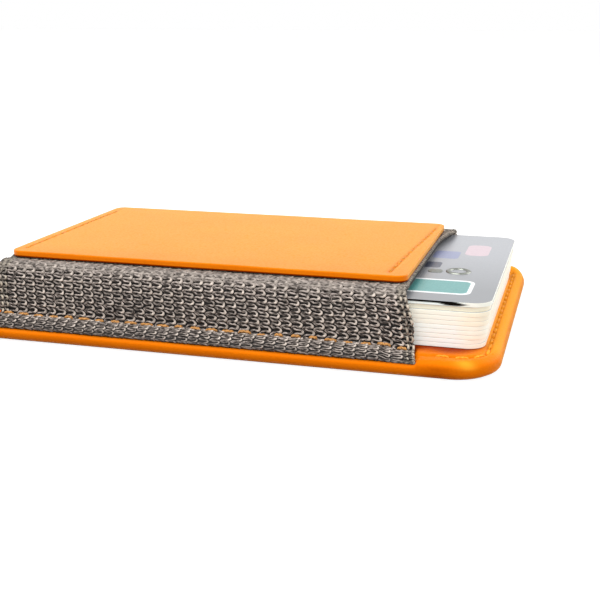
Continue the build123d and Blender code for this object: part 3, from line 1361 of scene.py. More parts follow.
@dataclass(frozen=True)
class FrontPanel:
    """The small leather panel on top of the sleeve, softly crowned, with a seam at each end."""

    rng: np.random.Generator  # source of the seams' unevenness
    rear_x: float = -43.4
    mouth_x: float = 31.75
    half_y: float = 23.7
    bottom_z: float = 13.06
    thickness: float = 1.05
    corner: float = 2.0
    edge_roll: float = 0.24
    under_roll: float = 0.2
    rim_drop: float = 0.14
    mouth_inset: float = 2.25
    mouth_skew: float = 0.055
    rear_inset: float = 2.0
    seam_near_y: float = -22.3
    seam_far_y: float = 19.7
    pitch: float = 3.05
    crown: float = 0.12
    groove_width: float = 0.42
    mouth_groove_depth: float = 0.1
    rear_groove_width: float = 0.3
    rear_groove_depth: float = 0.05
    hole_radius: float = 0.28
    hole_depth: float = 0.09
    unevenness: float = 0.03
    seam_margin: tuple[float, float] = (2.6, 0.8)  # from the edge, where the grooves fade out
    rubbed_y: tuple[float, float] = (16.0, 22.0)  # toward the near edge, where the leather is darker
    stitching: Stitching = Stitching(height=0.26, width=0.4, unevenness=0.7)

    def plan(self) -> RoundedPlan:
        """Return the panel's outline."""
        middle, half = (self.rear_x + self.mouth_x) / 2, (self.mouth_x - self.rear_x) / 2
        return RoundedPlan(half, self.half_y, self.corner, middle, corner_points=16)

    def seams(self) -> dict[str, Array]:
        """Lay the seams across the panel, the mouth seam a little askew.

        Returns:
            The row of dashes at each end.
        """
        middle = (self.seam_far_y + self.seam_near_y) / 2
        y = stitch_row(self.seam_far_y - self.seam_near_y, self.pitch) + middle
        z = self.bottom_z + self.thickness - 0.12
        ends = {
            "mouth": (self.mouth_x - self.mouth_inset, self.mouth_skew),
            "rear": (self.rear_x + self.rear_inset, 0.0),
        }
        return {
            end: np.stack(
                np.broadcast_arrays(x + skew * y, y, z, 90.0 - math.degrees(math.atan(skew))), 1
            )
            for end, (x, skew) in ends.items()
        }

    def top_height(self, flat: Array) -> tuple[Array, Array]:
        """Work out the panel's height and the shade painted into its creases.

        Args:
            flat: Places seen from above.

        Returns:
            Heights, and the painted crease shade, darker toward the near edge, from 0 to 1.
        """
        x, y = flat.T
        plan = self.plan()
        crown = 1 - ((x - plan.centre_x) / plan.half_x) ** 2
        crown = self.crown * crown * (1 - (y / self.half_y) ** 2)
        low, high = (self.half_y - margin for margin in self.seam_margin)
        window = 1 - smooth_step(low, high, np.abs(y))
        past = x - (self.mouth_x - self.mouth_inset + self.mouth_skew * y)
        # The thread pulls harder toward the near end of the mouth seam
        pull = 0.45 + 0.55 * smooth_step(4.0, 20.0, -y)
        mouth = ridge(past, self.groove_width) * window * pull
        rear = ridge(x - (self.rear_x + self.rear_inset), self.rear_groove_width) * window
        swell = ridge(past - 1.1, 0.6) * window
        holes = np.concatenate([self.stitching.holes(row) for row in self.seams().values()])
        drawn = dimples(flat, holes, self.hole_radius)
        uneven = self.unevenness * (swell + waves(x, y, 17.0))
        height = self.bottom_z + self.thickness + crown + uneven
        height = height - self.mouth_groove_depth * mouth - self.rear_groove_depth * rear
        height = height - self.hole_depth * drawn
        # Darker toward the near edge
        rubbed = 0.06 * smooth_step(*self.rubbed_y, -y)
        # Painted shade in the grooves and the needle holes
        crease = 0.25 * mouth + 0.1 * rear + 0.45 * drawn + rubbed
        return height, np.clip(crease, 0, 1)

    def build(self) -> None:
        """Build the leather skin and its two seams."""
        self.build_skin()
        for end, row in self.seams().items():
            shape = self.stitching.dashes(row, self.rng)
            piece = make_piece(f"seam_front_{end}", shape, SEAM_THREAD)
            settle(piece, Body.FRONT, Slot.LEATHER_THREAD, f"front_stitching_{end}")

    def build_skin(self) -> None:
        """Build the leather skin, from its underside round its edge to its top."""
        plan = self.plan()
        outline, outward = plan.ring(0), plan.outward()
        edge_top, _ = self.top_height(outline - outward * (self.edge_roll + 0.04))
        rim_z = self.bottom_z - self.rim_drop + 0.05 * waves(*outline.T, 22.0)
        shell = Shell()
        # The rim's lower edge and underside get painted shadow, where the panel overhangs the
        # sleeve
        shell.add(plan.ring(1.6), self.bottom_z, crease=0.6, wear=0.95)
        for turn in np.linspace(-QUARTER, 0, 6):
            flat = outline - outward * (self.under_roll * (1 - math.cos(turn)))
            z = rim_z + self.under_roll * (1 + math.sin(turn))
            shell.add(flat, z, crease=0.35 * abs(math.sin(turn)), wear=0.95)
        for rise, wear in ((0.27, 0.85), (0.34, 0.0)):
            shell.add(outline, rim_z + rise, crease=0.0, wear=wear)
        for turn in np.linspace(0, QUARTER, 8):
            flat = outline - outward * (self.edge_roll * (1 - math.cos(turn)))
            z = edge_top - self.edge_roll * (1 - math.sin(turn))
            shell.add(flat, z, crease=0.0, wear=0.0)
        fine, coarse = np.arange(0.6, 4.4, 0.16), (4.8, 5.4, 6.2, 7.5, 9, 11, 13.5, 16.5, 20, 23)
        for inset in (0.3, 0.42, *fine, *coarse):
            flat = plan.ring(inset)
            z, crease = self.top_height(flat)
            shell.add(flat, z, crease=crease, wear=0.0)
        piece = make_piece(
            "front_panel_skin", loft(shell.rings), LEATHER, marks=shell.all_marks()
        )
        settle(piece, Body.FRONT, Slot.LEATHER, "front_skin")


# One turn of the serpentine face yarn, as shares of the column's pitch, shares of the
# row's pitch, height in the weave from 0 to 1, the share of cream, and the share of
# its width, as the filaments spread where the yarn floats and bunch where it dips.
YARN_TURN_SHARES = (
    (0.04, -0.500, 0.00, 0.0, 1.00),
    (0.12, -0.400, 0.15, 0.0, 1.04),
    (0.29, -0.300, 0.48, 0.0, 1.18),
    (0.50, -0.252, 0.60, 0.0, 0.92),
    (0.72, -0.275, 0.66, 0.0, 1.10),
    (0.90, -0.225, 0.84, 0.05, 0.95),
    (0.985, -0.02, 1.00, 0.8, 1.02),
    (0.94, 0.200, 0.98, 1.0, 1.12),
    (0.75, 0.290, 0.80, 0.25, 1.05),
    (0.50, 0.255, 0.60, 0.0, 0.90),
    (0.29, 0.300, 0.48, 0.0, 1.16),
    (0.12, 0.400, 0.15, 0.0, 1.04),
)
# The loops over a cut end, as insets from it and depths under the sleeve's face.
BINDING_INSETS = (0.32, 0.14, 0.06, 0.04, 0.06, 0.16, 0.34)
BINDING_DEPTHS = (-0.14, -0.2, -0.36, -0.58, -0.8, -0.94, -1.0)


def smooth_path(values: Array) -> Array:
    """Put one more point between each two, on a smooth curve through them.

    Args:
        values: One row for each path.

    Returns:
        The rows with nearly twice as many points.
    """
    padded = np.pad(values, ((0, 0), (1, 2)), mode="edge")
    before, here, after, beyond = (padded[:, i : i + values.shape[1]] for i in range(4))
    middle = (9 * (here + after) - before - beyond) / 16
    both = np.stack((values, middle), axis=2).reshape(len(values), -1)
    return both[:, :-1]


@dataclass(frozen=True)
class ElasticSleeve:
    """The woven elastic sleeve: its ground, its face yarns, its selvages and its hem threads."""

    rng: np.random.Generator  # source of the yarns' and the dashes' unevenness
    rear_x: float = -43.5
    mouth_x: float = 35.0
    mouth_lean: float = 2.25
    roof_z: float = 13.06
    roof_inner_z: float = 11.86
    wall_y: float = 28.75
    wall_inner_y: float = 27.55
    shoulder: float = 3.0
    seat_z: float = 2.1
    valley_z: float = 3.6
    foot: float = 0.6
    valley_width: float = 0.6
    hem_curve: tuple[tuple[float, float], ...] = (
        (29.35, 3.6), (29.95, 3.64), (30.6, 3.95), (31.4, 3.96), (32.3, 3.68), (33.15, 3.25),
        (33.75, 2.8), (33.98, 2.5), (33.85, 2.25), (33.4, 2.12),
    )
    hem_end_y: float = 27.45
    slit_z: float = 3.15
    slit_half: float = 0.08
    slit_end: tuple[float, float] = (32.5, 2.62)
    panel_dip: float = 0.3
    panel_y: float = 23.7
    ground_depth: float = 0.5
    valley_depth: float = 0.24  # of the ground under its face in the valley
    hem_thinning: float = 0.16
    column_pitch: float = 1.96
    row_pitch: float = 1.27
    hem_row_pitch: float = 1.08
    selvage: float = 1.95
    selvage_pitch: float = 1.0
    near_edge_shift: float = -0.95
    far_edge_shift: float = 0.7
    far_edge_sag: float = 0.45
    hem_slant: float = 0.2
    hem_drop: float = 0.55
    hem_drop_x: tuple[float, float] = (28.3, 31.8)  # where the drop starts and is full
    yarn_size: float = 0.31
    yarn_low: float = -0.36  # of a yarn's deepest point, from the sleeve's face
    yarn_rise: float = 0.25
    yarn_middle: float = 0.62  # height in the weave round which the shoulder's turns lie flat
    cream_play: tuple[float, float] = (0.42, 0.86)
    cream_fuzz: tuple[float, float] = (-0.1, 0.14)
    dull_play: tuple[float, float] = (-0.06, 0.36)
    bare_share: float = 0.08  # of turns without cream
    roof_share: float = 0.22  # of the relief and the cream that is left on the roof
    column_play: float = 0.026  # of a column's pitch
    row_play: float = 0.034
    height_play: float = 0.06  # of a yarn's rise
    plump_play: float = 0.05  # of a yarn's width
    yarn_sides: int = 8
    binding_half: float = 0.19
    binding_flatness: float = 0.85
    binding_offsets: tuple[float, float] = (-0.2, 0.34)  # of the two loops between rows
    binding_lean: float = 0.12
    binding_play: float = 0.015
    binding_sides: int = 6
    strip_run: float = 8.2
    weave_start_y: float = 22.9
    stitch_pitch: float = 3.05
    sink_play: tuple[float, float] = (-0.32, 0.04)
    swallowed_share: float = 0.25  # of the dashes, which lie deeper still
    swallowed_depth: float = 0.3
    stitching: Stitching = Stitching(2.2, 0.66, 0.48, 0.36, unevenness=1.8)
    stretch_start_z: float = 4.3
    stretch_end_z: float = 10.5
    section_points: int = 900
    ground_stations: int = 60

    def profile(self) -> Array:
        """Draw the outer face's section from the roof's middle to the hem's seat.

        Returns:
            Points as Y and Z.
        """
        shoulder_y, shoulder_z = self.wall_y - self.shoulder, self.roof_z - self.shoulder
        roof_y = np.linspace(0, shoulder_y, 120)
        dip = smooth_step(self.panel_y - 1.4, self.panel_y - 0.2, roof_y)
        dip = dip * (1 - smooth_step(self.panel_y + 0.2, shoulder_y - 0.1, roof_y))
        turn = np.linspace(0, QUARTER, 24)
        arc = circle(turn)
        foot_z = self.valley_z + self.foot
        parts = (
            np.stack((roof_y, self.roof_z - self.panel_dip * dip), 1),
            (shoulder_y, shoulder_z) + self.shoulder * arc[:, ::-1],
            np.linspace((self.wall_y, shoulder_z), (self.wall_y, foot_z), 24),
            (self.wall_y + self.foot, foot_z) - self.foot * arc,
            curve_through(np.array(self.hem_curve), 8),
        )
        line = np.concatenate(parts)
        fresh = np.concatenate(((True,), np.linalg.norm(np.diff(line, axis=0), axis=1) > 1e-4))
        return line[fresh]

    def surface(self) -> tuple[Array, Array, Array]:
        """Space the section evenly.

        Returns:
            The run round the section, its points and its outward directions.
        """
        line = self.profile()
        even = np.linspace(0, runs_along(line)[-1], self.section_points)
        points = spaced(line, self.section_points)
        slope = np.gradient(points, axis=0)
        slope /= np.linalg.norm(slope, axis=1, keepdims=True)
        outward = np.stack((-slope[:, 1], slope[:, 0]))
        kernel = np.ones(9) / 9
        padded = np.pad(outward, ((0, 0), (4, 4)), mode="edge")
        outward = np.stack([np.convolve(row, kernel, "valid") for row in padded], 1)
        return even, points, outward

    def warp(self, u: Array, y: Array, z: Array) -> Array:
        """Turn places on the straight sleeve into places on the worn one.

        The threads lean back with the mouth edge. On the roof the mouth edge lies close
        to the panel on the near side, and bulges out and sags on the far side. At the
        mouth the hems are pressed flatter, and their ends are cut at a slant.

        Args:
            u: Place along X at the hem.
            y: Place along Y.
            z: Height.

        Returns:
            The points.
        """
        share = np.clip((z - self.seat_z) / (self.roof_z - self.seat_z), 0, 1)
        from_rear = np.clip((u - self.rear_x) / (self.mouth_x - self.rear_x), 0, 1)
        far = smooth_step(10, 26, y)
        bulge = self.near_edge_shift + (self.far_edge_shift - self.near_edge_shift) * far
        slant = self.hem_slant * np.maximum(np.abs(y) - self.wall_y - 3.1, -2.5)
        slant = slant * (1 - smooth_step(4.2, 7.5, z))
        # Only the very end of the sleeve bulges and slants
        x = u - self.mouth_lean * share * from_rear
        x = x + (bulge * share**3 + slant) * from_rear**24
        sag = smooth_step(17, 27, y) * smooth_step(9, 12.5, z)
        sag = sag * smooth_step(15, self.mouth_x - 1, u)
        pressed = smooth_step(self.seat_z, 3.0, z) * (1 - smooth_step(self.valley_z, 9.0, z))
        pressed = pressed * smooth_step(*self.hem_drop_x, u)
        z = z - self.far_edge_sag * sag - self.hem_drop * pressed
        return np.stack(np.broadcast_arrays(x, y, z), -1)

    def place(self, u: Array, run: Array, height: Array) -> tuple[Array, Array]:
        """Put places of the weave on the sleeve.

        Args:
            u: Place along X at the hem.
            run: Distance round the section from the roof's middle, negative on the near side.
            height: Height over the sleeve's nominal face.

        Returns:
            The points and the outward directions.
        """
        even, points, outward = self.surface()
        side = np.where(run < 0, -1.0, 1.0)
        y, z, normal_y, normal_z = (
            np.interp(np.abs(run), even, line) for line in (*points.T, *outward.T)
        )
        normals = np.stack(np.broadcast_arrays(0.0, side * normal_y, normal_z), -1)
        return self.warp(u, side * (y + height * normal_y), z + height * normal_z), normals

    def section_lines(self) -> tuple[Array, Array]:
        """Return the run round the section, and how far out it lies from the middle."""
        even, points, _ = self.surface()
        return even, points[:, 0]

    def weave_run(self) -> float:
        """Return the distance round the section at which the face yarns start on the roof."""
        even, y = (line[: self.section_points // 2] for line in self.section_lines())
        return float(np.interp(self.weave_start_y, y, even))

    def hem_run(self) -> float:
        """Return the distance round the section to the start of the hem."""
        even, y = self.section_lines()
        return float(even[np.argmax(y > self.wall_y + self.foot / 2)])

    def row_runs(self, start: float) -> Array:
        """Space the weave's rows round the section, closer in the hem.

        Args:
            start: Distance of the first row.

        Returns:
            The distances.
        """
        runs, hem, end = [start], self.hem_run(), self.surface()[0][-1]
        while runs[-1] < end - 0.4:
            runs.append(runs[-1] + (self.hem_row_pitch if runs[-1] > hem else self.row_pitch))
        return np.array(runs)

    def build(self) -> None:
        """Build every piece of the sleeve."""
        self.build_ground()
        first, last = self.rear_x + self.selvage, self.mouth_x - self.selvage
        count = round((last - first) / self.column_pitch)
        starts = np.linspace(first, last, count + 1)[:-1]
        halves = {"rear": starts[: count // 2], "mouth": starts[count // 2 :]}
        rows = self.row_runs(self.weave_run())
        for side in Side:
            for half, part in halves.items():
                name = f"sleeve_weave_{side.name.lower()}_{half}"
                pitch = (last - first) / count
                self.build_yarns(name, part, pitch, side.value * rows, YARN)
            self.build_hem_seam(side)
        half = self.row_runs(self.row_pitch / 2)
        around = np.concatenate((-half[::-1], half))
        for end, low in (("mouth", last), ("rear", self.rear_x + 0.04)):
            pair = np.array((low - 0.02, low + 0.98))
            name = f"sleeve_selvage_{end}"
            self.build_yarns(name, pair, self.selvage_pitch, around, EDGE_YARN)
            self.build_binding(end, around)

    def stretch(self, piece: bpy.types.Object, *nodes: str) -> None:
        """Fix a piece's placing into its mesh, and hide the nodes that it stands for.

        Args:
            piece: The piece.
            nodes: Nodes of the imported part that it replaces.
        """
        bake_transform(piece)
        if nodes:
            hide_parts(*nodes)
        points = len(piece.data.vertices)
        LOG.info("%s stretches from holder to front, %d points", piece.name, points)

    def ground_face(self) -> Array:
        """Draw the ground's outer line, thinner in the valley and in the hem.

        Returns:
            Points as Y and Z, from the roof's middle to the hem's fold.
        """
        _, points, outward = self.surface()
        y, z = points.T
        valley = ridge(y - (self.wall_y + self.foot + self.valley_width / 2), 0.75)
        valley = valley * (z < self.roof_z - self.shoulder)
        depth = self.ground_depth - (self.ground_depth - self.valley_depth) * valley
        depth -= self.hem_thinning * smooth_step(self.wall_y + 1.0, self.wall_y + 2.5, y)
        return (points - outward * depth[:, None])[::3]

    def ground_section(self) -> tuple[Array, int]:
        """Draw the ground's closed section, with as many points inside as outside.

        Returns:
            Points as Y and Z, and how many of them are on the outer line.
        """
        outer = self.ground_face()
        centre = np.array((self.wall_y - self.shoulder, self.roof_z - self.shoulder))
        turn = np.linspace(QUARTER, 0, 14)
        inner_radius = self.shoulder - (self.roof_z - self.roof_inner_z)
        bend = centre + inner_radius * circle(turn)
        above, below = (
            (y, self.slit_z + self.slit_half * side)
            for y, side in ((self.wall_inner_y, 1), (self.hem_end_y, -1))
        )
        tip = np.array(self.slit_end)
        inner_parts = (
            np.concatenate((((0.0, self.roof_inner_z),), bend)),
            np.stack((bend[-1], above)),
            np.stack((above, tip + (-0.1, 0.06), tip)),
            np.stack((tip, tip + (-0.1, -0.06), below)),
        )
        foot_z = self.valley_z + self.foot
        knees = [np.argmax(test) for test in (outer[:, 1] < centre[1], outer[:, 1] < foot_z)]
        knees = [0, *map(int, knees), int(np.argmax(outer[:, 0]))]
        seat = np.linspace(outer[-1], (self.hem_end_y, self.seat_z + 0.03), 14)[1:]
        outer = np.concatenate((outer, seat))
        knees.append(len(outer) - 1)
        inner = [
            spaced(part, last - first + 1)[:-1]
            for part, first, last in zip(inner_parts, knees, knees[1:])
        ]
        inner = np.concatenate((*inner, inner_parts[-1][-1:]))
        face, back = (
            np.concatenate(((line * (-1, 1))[:0:-1], line)) for line in (outer, inner)
        )
        return np.concatenate((face, back[::-1])), len(face)

    def build_ground(self) -> None:
        """Build the sleeve's ground: one closed band with its folded hems."""
        section, face_count = self.ground_section()
        stations = np.linspace(self.rear_x + 0.35, self.mouth_x - 0.35, self.ground_stations)
        points, faces = loft([self.warp(u, *section.T) for u in stations])
        count, strips = len(section), face_count - 1
        lines = np.arange(strips)
        ends = np.stack((lines, count - 1 - lines, count - 2 - lines, lines + 1), 1)
        last = len(points) - count
        faces = faces[1:-1] + ends[:, ::-1].tolist() + (ends + last).tolist()
        # The outer face and the cut ends wear the near-black copy, painted shade
        inside = np.tile(np.arange(count) >= face_count, self.ground_stations - 1)
        finish_of = np.concatenate((inside, np.zeros(2 * strips)))
        shape = points, [face[::-1] for face in faces]
        piece = make_piece(
            "sleeve_ground", shape, RUBBER, RUBBER_BACK, finish_of=finish_of, crease_angle=50
        )
        self.stretch(piece, "elastic_band")

    def build_yarns(
        self, name: str, starts: Array, pitch: float, rows: Array, yarn: SpunYarn
    ) -> None:
        """Build serpentine face yarns, one for each column of the weave.

        Args:
            name: Name of the piece.
            starts: Where the columns start along X.
            pitch: Width of a column.
            rows: Distances of the rows round the section, negative on the near side.
            yarn: Finish of the yarns.
        """
        rng = self.rng
        turns, steps, columns = len(rows) - 1, len(YARN_TURN_SHARES), len(starts)
        shape = (columns, turns * steps)
        across, row_share, high, cream, plump = np.tile(np.array(YARN_TURN_SHARES).T, turns)
        row_number = np.repeat(np.arange(turns), steps) + 0.5 + row_share
        run = np.interp(row_number, np.arange(len(rows)), rows)
        local_pitch = np.interp(row_number, np.arange(turns) + 0.5, np.abs(np.diff(rows)))
        # Where on the sleeve: face is the open wall, hem is the folded hem, and fold its
        # lower edge
        away, begin, end = np.abs(run), self.weave_run(), self.surface()[0][-1]
        face = smooth_step(begin + self.strip_run - 2.4, begin + self.strip_run, away)
        hem = smooth_step(self.hem_run(), self.hem_run() + 1.0, away)
        fold = smooth_step(end - 2.2, end - 0.7, away)
        open_share = self.roof_share + (1 - self.roof_share) * face
        u = starts[:, None] + (across + rng.normal(0, self.column_play, shape)) * pitch
        middle = self.yarn_middle
        high = middle + (high + rng.normal(0, self.height_play, shape) - middle) * open_share
        height = self.yarn_low + self.yarn_rise * high
        amount = rng.uniform(*self.cream_play, (columns, turns))
        amount = amount * (rng.random((columns, turns)) > self.bare_share)
        cream = cream * np.repeat(amount, steps, axis=1) * open_share
        # Less cream in the hem and far less in its fold: painted shade
        cream = cream * (1 - 0.2 * hem - 0.7 * fold) + 0.1 * (1 - face)
        cream = cream + rng.uniform(*self.cream_fuzz, shape)
        run = run + 0.07 * waves(u, run, 13.0) + rng.normal(0, self.row_play, shape)
        # Painted shade on single half turns, on the shoulder strip, in the hem and in its fold
        dull = np.repeat(rng.uniform(*self.dull_play, (columns, 2 * turns)), steps // 2, axis=1)
        # Painted shadow on the rows under the front panel's edge
        shadow = 1 - smooth_step(begin + 1.2, begin + 6.2, np.abs(run))
        dull = dull + 0.4 * (1 - face) + 0.45 * shadow + 0.22 * hem + 0.5 * fold
        # Painted shade, darker toward the rear
        dull = dull - 0.07 * smooth_step(-10, 28, u)
        plump = plump + rng.normal(0, self.plump_play, shape)
        u, run, height, cream, dull, local_pitch, face, plump = (
            smooth_path(np.broadcast_to(values, shape))
            for values in (u, run, height, cream, dull, local_pitch, face, plump)
        )
        paths, normals = self.place(u, run, height)
        cream, dull = np.clip(cream, 0, 1), np.clip(dull, 0, 1)
        width = self.yarn_size * local_pitch - 0.25 * (self.row_pitch - local_pitch)
        width = width * plump * (1 + 0.5 * (1 - face)) / 2
        thick = self.yarn_size * (1 + 0.12 * cream) / 2
        shape, strand = sweep(paths, normals, width, thick, self.yarn_sides)
        marks = {"cream": cream, "dull": dull}
        marks = {key: np.repeat(mark, self.yarn_sides) for key, mark in marks.items()}
        self.stretch(make_piece(name, shape, yarn, marks=marks | {"strand": strand}))

    def build_binding(self, end: str, rows: Array) -> None:
        """Build the loops that bind one cut end of the sleeve, from its face to its inside.

        Args:
            end: "mouth" or "rear".
            rows: Distances of the rows round the section, negative on the near side.
        """
        rng = self.rng
        edge, inward = (self.mouth_x, -1.0) if end == "mouth" else (self.rear_x, 1.0)
        middles = (rows[1:] + rows[:-1]) / 2
        runs = np.concatenate([middles + offset for offset in self.binding_offsets])[:, None]
        steps = len(BINDING_INSETS)
        shape = (len(runs), steps)
        on_roof = 1 - smooth_step(self.wall_y - self.shoulder - 1, self.wall_y, np.abs(runs))
        play, lean = self.binding_play, self.binding_lean
        u = edge + inward * np.array(BINDING_INSETS) + rng.normal(0, play, shape)
        run = runs + np.linspace(-lean, lean, steps) + rng.normal(0, 0.02, shape)
        height = np.array(BINDING_DEPTHS) * (1 - 0.42 * on_roof) + rng.normal(0, play, shape)
        paths, _ = self.place(*map(smooth_path, (u, run, height)))
        normals = np.broadcast_to((-inward, 0.02, 0.05), paths.shape)
        width = np.full(paths.shape[:2], self.binding_half)
        thick = width * self.binding_flatness
        shape, strand = sweep(paths, normals, width, thick, self.binding_sides)
        # Less cream on the roof: painted shade
        cream = rng.uniform(-0.2, 0.42, (len(runs), 1)) * (1 - 0.7 * on_roof)
        cream = np.repeat(np.clip(cream, 0, 1), width.shape[1] * self.binding_sides)
        marks = {"cream": cream, "strand": strand}
        self.stretch(make_piece(f"sleeve_binding_{end}", shape, EDGE_YARN, marks=marks))

    def build_hem_seam(self, side: Side) -> None:
        """Build the thread row that holds one hem down.

        Args:
            side: Long side of the holder.
        """
        rng, middle = self.rng, (self.mouth_x + self.rear_x) / 2
        x = stitch_row(self.mouth_x - self.rear_x, self.stitch_pitch) + middle
        y = side.value * (self.wall_y + self.foot + self.valley_width / 2)
        # The soft elastic swallows some dashes more than others
        sunk = rng.uniform(*self.sink_play, len(x))
        sunk -= self.swallowed_depth * (rng.random(len(x)) < self.swallowed_share)
        sunk -= self.hem_drop * smooth_step(*self.hem_drop_x, x)
        row = np.stack(np.broadcast_arrays(x, y, self.valley_z + 0.14 + sunk, 0.0), 1)
        shape = self.stitching.dashes(row, rng)
        name = side.name.lower()
        piece = make_piece(f"seam_hem_{name}", shape, BAND_THREAD)
        settle(piece, Body.HOLDER, Slot.BAND_THREAD, f"band_stitching_{name}")


@dataclass(frozen=True)
class Patch:
    """A printed area on the top card.

    Attributes:
        name: Name of the piece.
        finish: Ink that it wears.
        centre: Its place on the card.
        size: Its length along X and width along Y.
        corner: Corner radius.
        level: Height of its top over the card.
    """

    name: str
    finish: Finish
    centre: tuple[float, float]
    size: tuple[float, float]
    corner: float
    level: float = 0.012


@dataclass(frozen=True)
class CardPile:
    """The pile of cards: punched laminated slabs with softened edges, and a printed top face."""

    count: int = 10
    corner: float = 3.18
    bevel: float = 0.045
    spacing: float = 2.0
    ink_spacing: float = 0.6  # of the top card's points, which carry the dark wedge's edge
    end_aged: float = 0.4
    end_x: tuple[float, float] = (41.0, 42.8)  # the cards' ends, which stick out of the sleeve
    print_depth: float = 0.03
    print_bevel: float = 0.006
    patches: tuple[Patch, ...] = (
        Patch("border", WHITE, (36.0, -17.4), (12.6, 9.8), 1.8, 0.010),
        Patch("teal", TEAL, (36.0, -17.4), (11.2, 8.2), 1.2, 0.018),
        Patch("slate", SLATE, (32.4, -1.6), (4.4, 4.6), 0.8),
        Patch("pink", PINK, (40.0, 12.6), (4.6, 9.6), 1.6),
        Patch("lilac", LILAC, (34.4, 7.4), (5.0, 6.4), 0.9),
        Patch("bar", FOIL, (34.2, -6.6), (2.6, 2.4), 0.8, 0.09),
    )
    ring_centre: tuple[float, float] = (38.4, -6.0)
    ring_radius: float = 1.9
    ring_half_width: float = 0.42
    ring_half_height: float = 0.22

    def slab(
        self, plan: RoundedPlan, low: float, high: float, bevel: float, shift_y: float
    ) -> tuple[Shape, Array]:
        """Build a thin slab with softened edges.

        Args:
            plan: Its outline.
            low: Height of its underside.
            high: Height of its top.
            bevel: Size of its softened edges.
            shift_y: Place of its centre along Y.

        Returns:
            The shape, and each point's height share.
        """
        steps = ((4 * bevel, 0.0), (bevel, 0.0), (0.3 * bevel, 0.3 * bevel), (0.0, bevel))
        levels = [(inset, low + rise) for inset, rise in steps]
        levels += [(0.0, low + share * (high - low)) for share in (0.2, 0.35, 0.5, 0.65, 0.8)]
        levels += [(inset, high - rise) for inset, rise in steps[::-1]]
        shell = Shell()
        for inset, z in levels:
            shell.add(plan.ring(inset) + (0, shift_y), z)
        points, faces = loft(shell.rings)
        return (points, faces), (points[:, 2] - low) / (high - low)

    def build(self) -> None:
        """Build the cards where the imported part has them, and the top card's print."""
        for number in range(1, self.count + 1):
            node = f"card_{number:02d}"
            low, high = (np.array(corner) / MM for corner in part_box(node))
            half, centre = (high - low) / 2, (high + low) / 2
            top_card = number == 1
            spacing = self.ink_spacing if top_card else self.spacing
            plan = RoundedPlan(half[0], half[1], self.corner, centre[0], spacing, 12)
            shape, level = self.slab(plan, low[2], high[2], self.bevel, centre[1])
            x, y, _ = shape[0].T
            # Cards nearer the top get a warmer cream, not evenly so, and all cards do at their ends
            aged = max(0.0, 0.95 - 0.13 * number) + 0.1 * (number % 3)
            aged = aged * (not top_card) + self.end_aged * smooth_step(*self.end_x, x)
            marks = {"level": level, "ink": self.ink(x, level) * top_card, "aged": aged}
            if top_card:
                # Painted shade on the top card's face, darker toward its near edge
                marks["across"] = (high[1] - y) / (high[1] - low[1])
            faces = np.arange(len(shape[1]))
            printed = faces >= len(faces) - 1 - 2 * len(plan.ring(0))
            face = FACE if top_card else BLANK
            piece = make_piece(
                f"{node}_body", shape, CARD, face, marks=marks, finish_of=printed,
                crease_angle=50,
            )
            settle(piece, node, Slot.CARD_FACE if top_card else Slot.CARD_BODY, node)
        self.build_print()

    def ink(self, x: Array, level: Array) -> Array:
        """Work out where the top card's edge is painted dark, in a wedge at the mouth.

        Args:
            x: Places along X.
            level: Height share of each place.

        Returns:
            Shares from 0 to 1 for each point.
        """
        upper = 1.1 - 0.6 * smooth_step(39.8, 42.8, x)
        lower = 0.5 - 0.42 * smooth_step(37.4, 39.4, x) + 0.34 * smooth_step(40.6, 42.8, x)
        over, under = (smooth_step(-0.08, 0.08, level - edge) for edge in (lower, upper))
        return over * (1 - under) * (1 - smooth_step(42.3, 43.0, x))

    def build_print(self) -> None:
        """Build the generic printed areas and the pressed ring on the top card."""
        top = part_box("card_01")[1][2] / MM
        low = top - self.print_depth
        for patch in self.patches:
            (length, width), (x, y) = patch.size, patch.centre
            plan = RoundedPlan(length / 2, width / 2, patch.corner, x, 2.0, 10)
            shape, level = self.slab(plan, low, top + patch.level, self.print_bevel, y)
            piece = make_piece(
                f"card_01_print_{patch.name}", shape, patch.finish, marks={"level": level},
                crease_angle=40,
            )
            settle(piece, "card_01", Slot.CARD_FACE)
        turn = FULL * np.arange(48) / 48
        shell = Shell()
        for angle in FULL * np.arange(12) / 12:
            radius = self.ring_radius + self.ring_half_width * math.cos(angle)
            flat = circle(turn) * radius + self.ring_centre
            shell.add(flat, top + 0.02 + self.ring_half_height * math.sin(angle))
        shape = loft(shell.rings, endless=True)
        piece = make_piece("card_01_pressed_ring", shape, FOIL, crease_angle=40)
        settle(piece, "card_01", Slot.CARD_FACE)


@dataclass(frozen=True)
class InnerParts:
    """The hidden parts of the panels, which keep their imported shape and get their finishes."""

    magnet_count: int = 12

    def build(self, nodes: dict[str, bpy.types.Object]) -> None:
        """Dress the hidden nodes.

        Args:
            nodes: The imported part's nodes by name.
        """
        dressed = {"back_board": BOARD, "front_board": BOARD, "front_lining": LINING}
        dressed |= {"shield_ring": STEEL, "alignment_magnet": NICKEL}
        dressed |= {f"magnet_{n:02d}": NICKEL for n in range(1, self.magnet_count + 1)}
        for name, finish in dressed.items():
            node = nodes[name]
            if not node.material_slots:
                node.data.materials.append(None)
            for slot in node.material_slots:
                slot.material = finish.material()
            LOG.info("%s wears %s", name, finish.name)


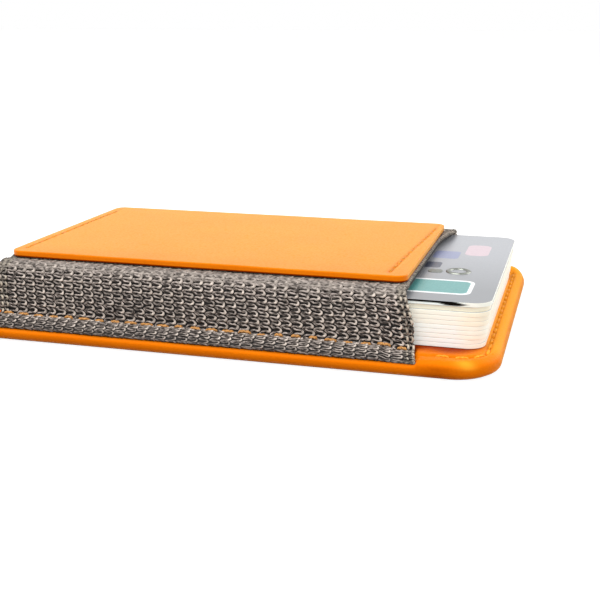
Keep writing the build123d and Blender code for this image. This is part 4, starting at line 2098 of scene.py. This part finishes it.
@dataclass(frozen=True)
class Studio:
    """The paper floor, the soft lamps and the camera."""

    floor_side: float = 9000.0
    floor_drop: float = 0.15
    camera_at: Spot = (59.83, -189.80, 56.24)
    aim_at: Spot = (6.71, -0.80, 2.07)
    focal_px: float = 1026.0
    sensor_mm: float = 36.0
    sky_strength: float = 0.5
    # Name of each lamp, its place, the side of its square and its power in watts
    lamps: tuple[tuple[str, Spot, float, float], ...] = (
        ("key_softbox", (-120.0, -170.0, 430.0), 360.0, 2.02),
        ("fill_softbox", (260.0, -330.0, 170.0), 300.0, 0.6),
        ("rim_softbox", (330.0, 260.0, 260.0), 300.0, 0.9),
    )

    def build(self) -> None:
        """Build the floor, the sky, the lamps and the camera."""
        self.build_floor()
        self.build_sky()
        for name, place, side, power in self.lamps:
            data = bpy.data.lights.new(name, "AREA")
            data.shape, data.size, data.energy = "SQUARE", side * MM, power
            self.set_up(name, data, place, (0, 0, 0))
        self.build_camera()

    def build_floor(self) -> None:
        """Build the paper floor just under the holder."""
        signs = np.array(((-1, -1), (1, -1), (1, 1), (-1, 1)))
        corners = np.column_stack((signs * self.floor_side / 2, np.full(4, -self.floor_drop)))
        make_piece("studio_floor", (corners, [[0, 1, 2, 3]]), PAPER)

    def build_sky(self) -> None:
        """Build the even light round the holder, white where the camera or a gloss sees it."""
        world = bpy.data.worlds.new("studio_sky")
        world.use_nodes = True
        tree = world.node_tree
        tree.nodes.clear()
        soft, white = (
            add_node(tree, "Background", {"Color": "#FFFFFF", "Strength": strength})
            for strength in (self.sky_strength, 1.0)
        )
        both = add_node(tree, "MixShader", {0: seen_rays(tree), 1: soft, 2: white})
        add_node(tree, "OutputWorld", {"Surface": both})
        bpy.context.scene.world = world

    def set_up(self, name: str, data: bpy.types.ID, at: tuple, aim_at: tuple) -> bpy.types.Object:
        """Set up a lamp or the camera.

        Args:
            name: Its name.
            data: Its lamp or camera data.
            at: Where it stands.
            aim_at: Where it looks.

        Returns:
            The new object.
        """
        made = bpy.data.objects.new(name, data)
        made.location = Vector(at) * MM
        aim = Vector(aim_at) * MM - made.location
        made.rotation_euler = aim.to_track_quat("-Z", "Y").to_euler()
        bpy.context.scene.collection.objects.link(made)
        return made

    def build_camera(self) -> None:
        """Build the camera at the photographed viewpoint."""
        data = bpy.data.cameras.new("camera")
        data.sensor_width = self.sensor_mm
        data.lens = self.focal_px / IMAGE_SIDE * self.sensor_mm
        data.clip_start, data.clip_end = 5 * MM, 2 * self.floor_side * MM
        bpy.context.scene.camera = self.set_up("camera", data, self.camera_at, self.aim_at)


def main() -> None:
    """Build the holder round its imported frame, and the studio."""
    logging.basicConfig(level=logging.INFO, format="%(name)s: %(message)s")
    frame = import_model()
    rng = np.random.default_rng(SEED)
    for assembly in (BackPanel, FrontPanel, ElasticSleeve):
        assembly(rng).build()
    CardPile().build()
    InnerParts().build(frame["nodes"])
    Studio().build()
    bpy.context.scene.view_settings.view_transform = "Standard"


if __name__ == "__main__":
    main()
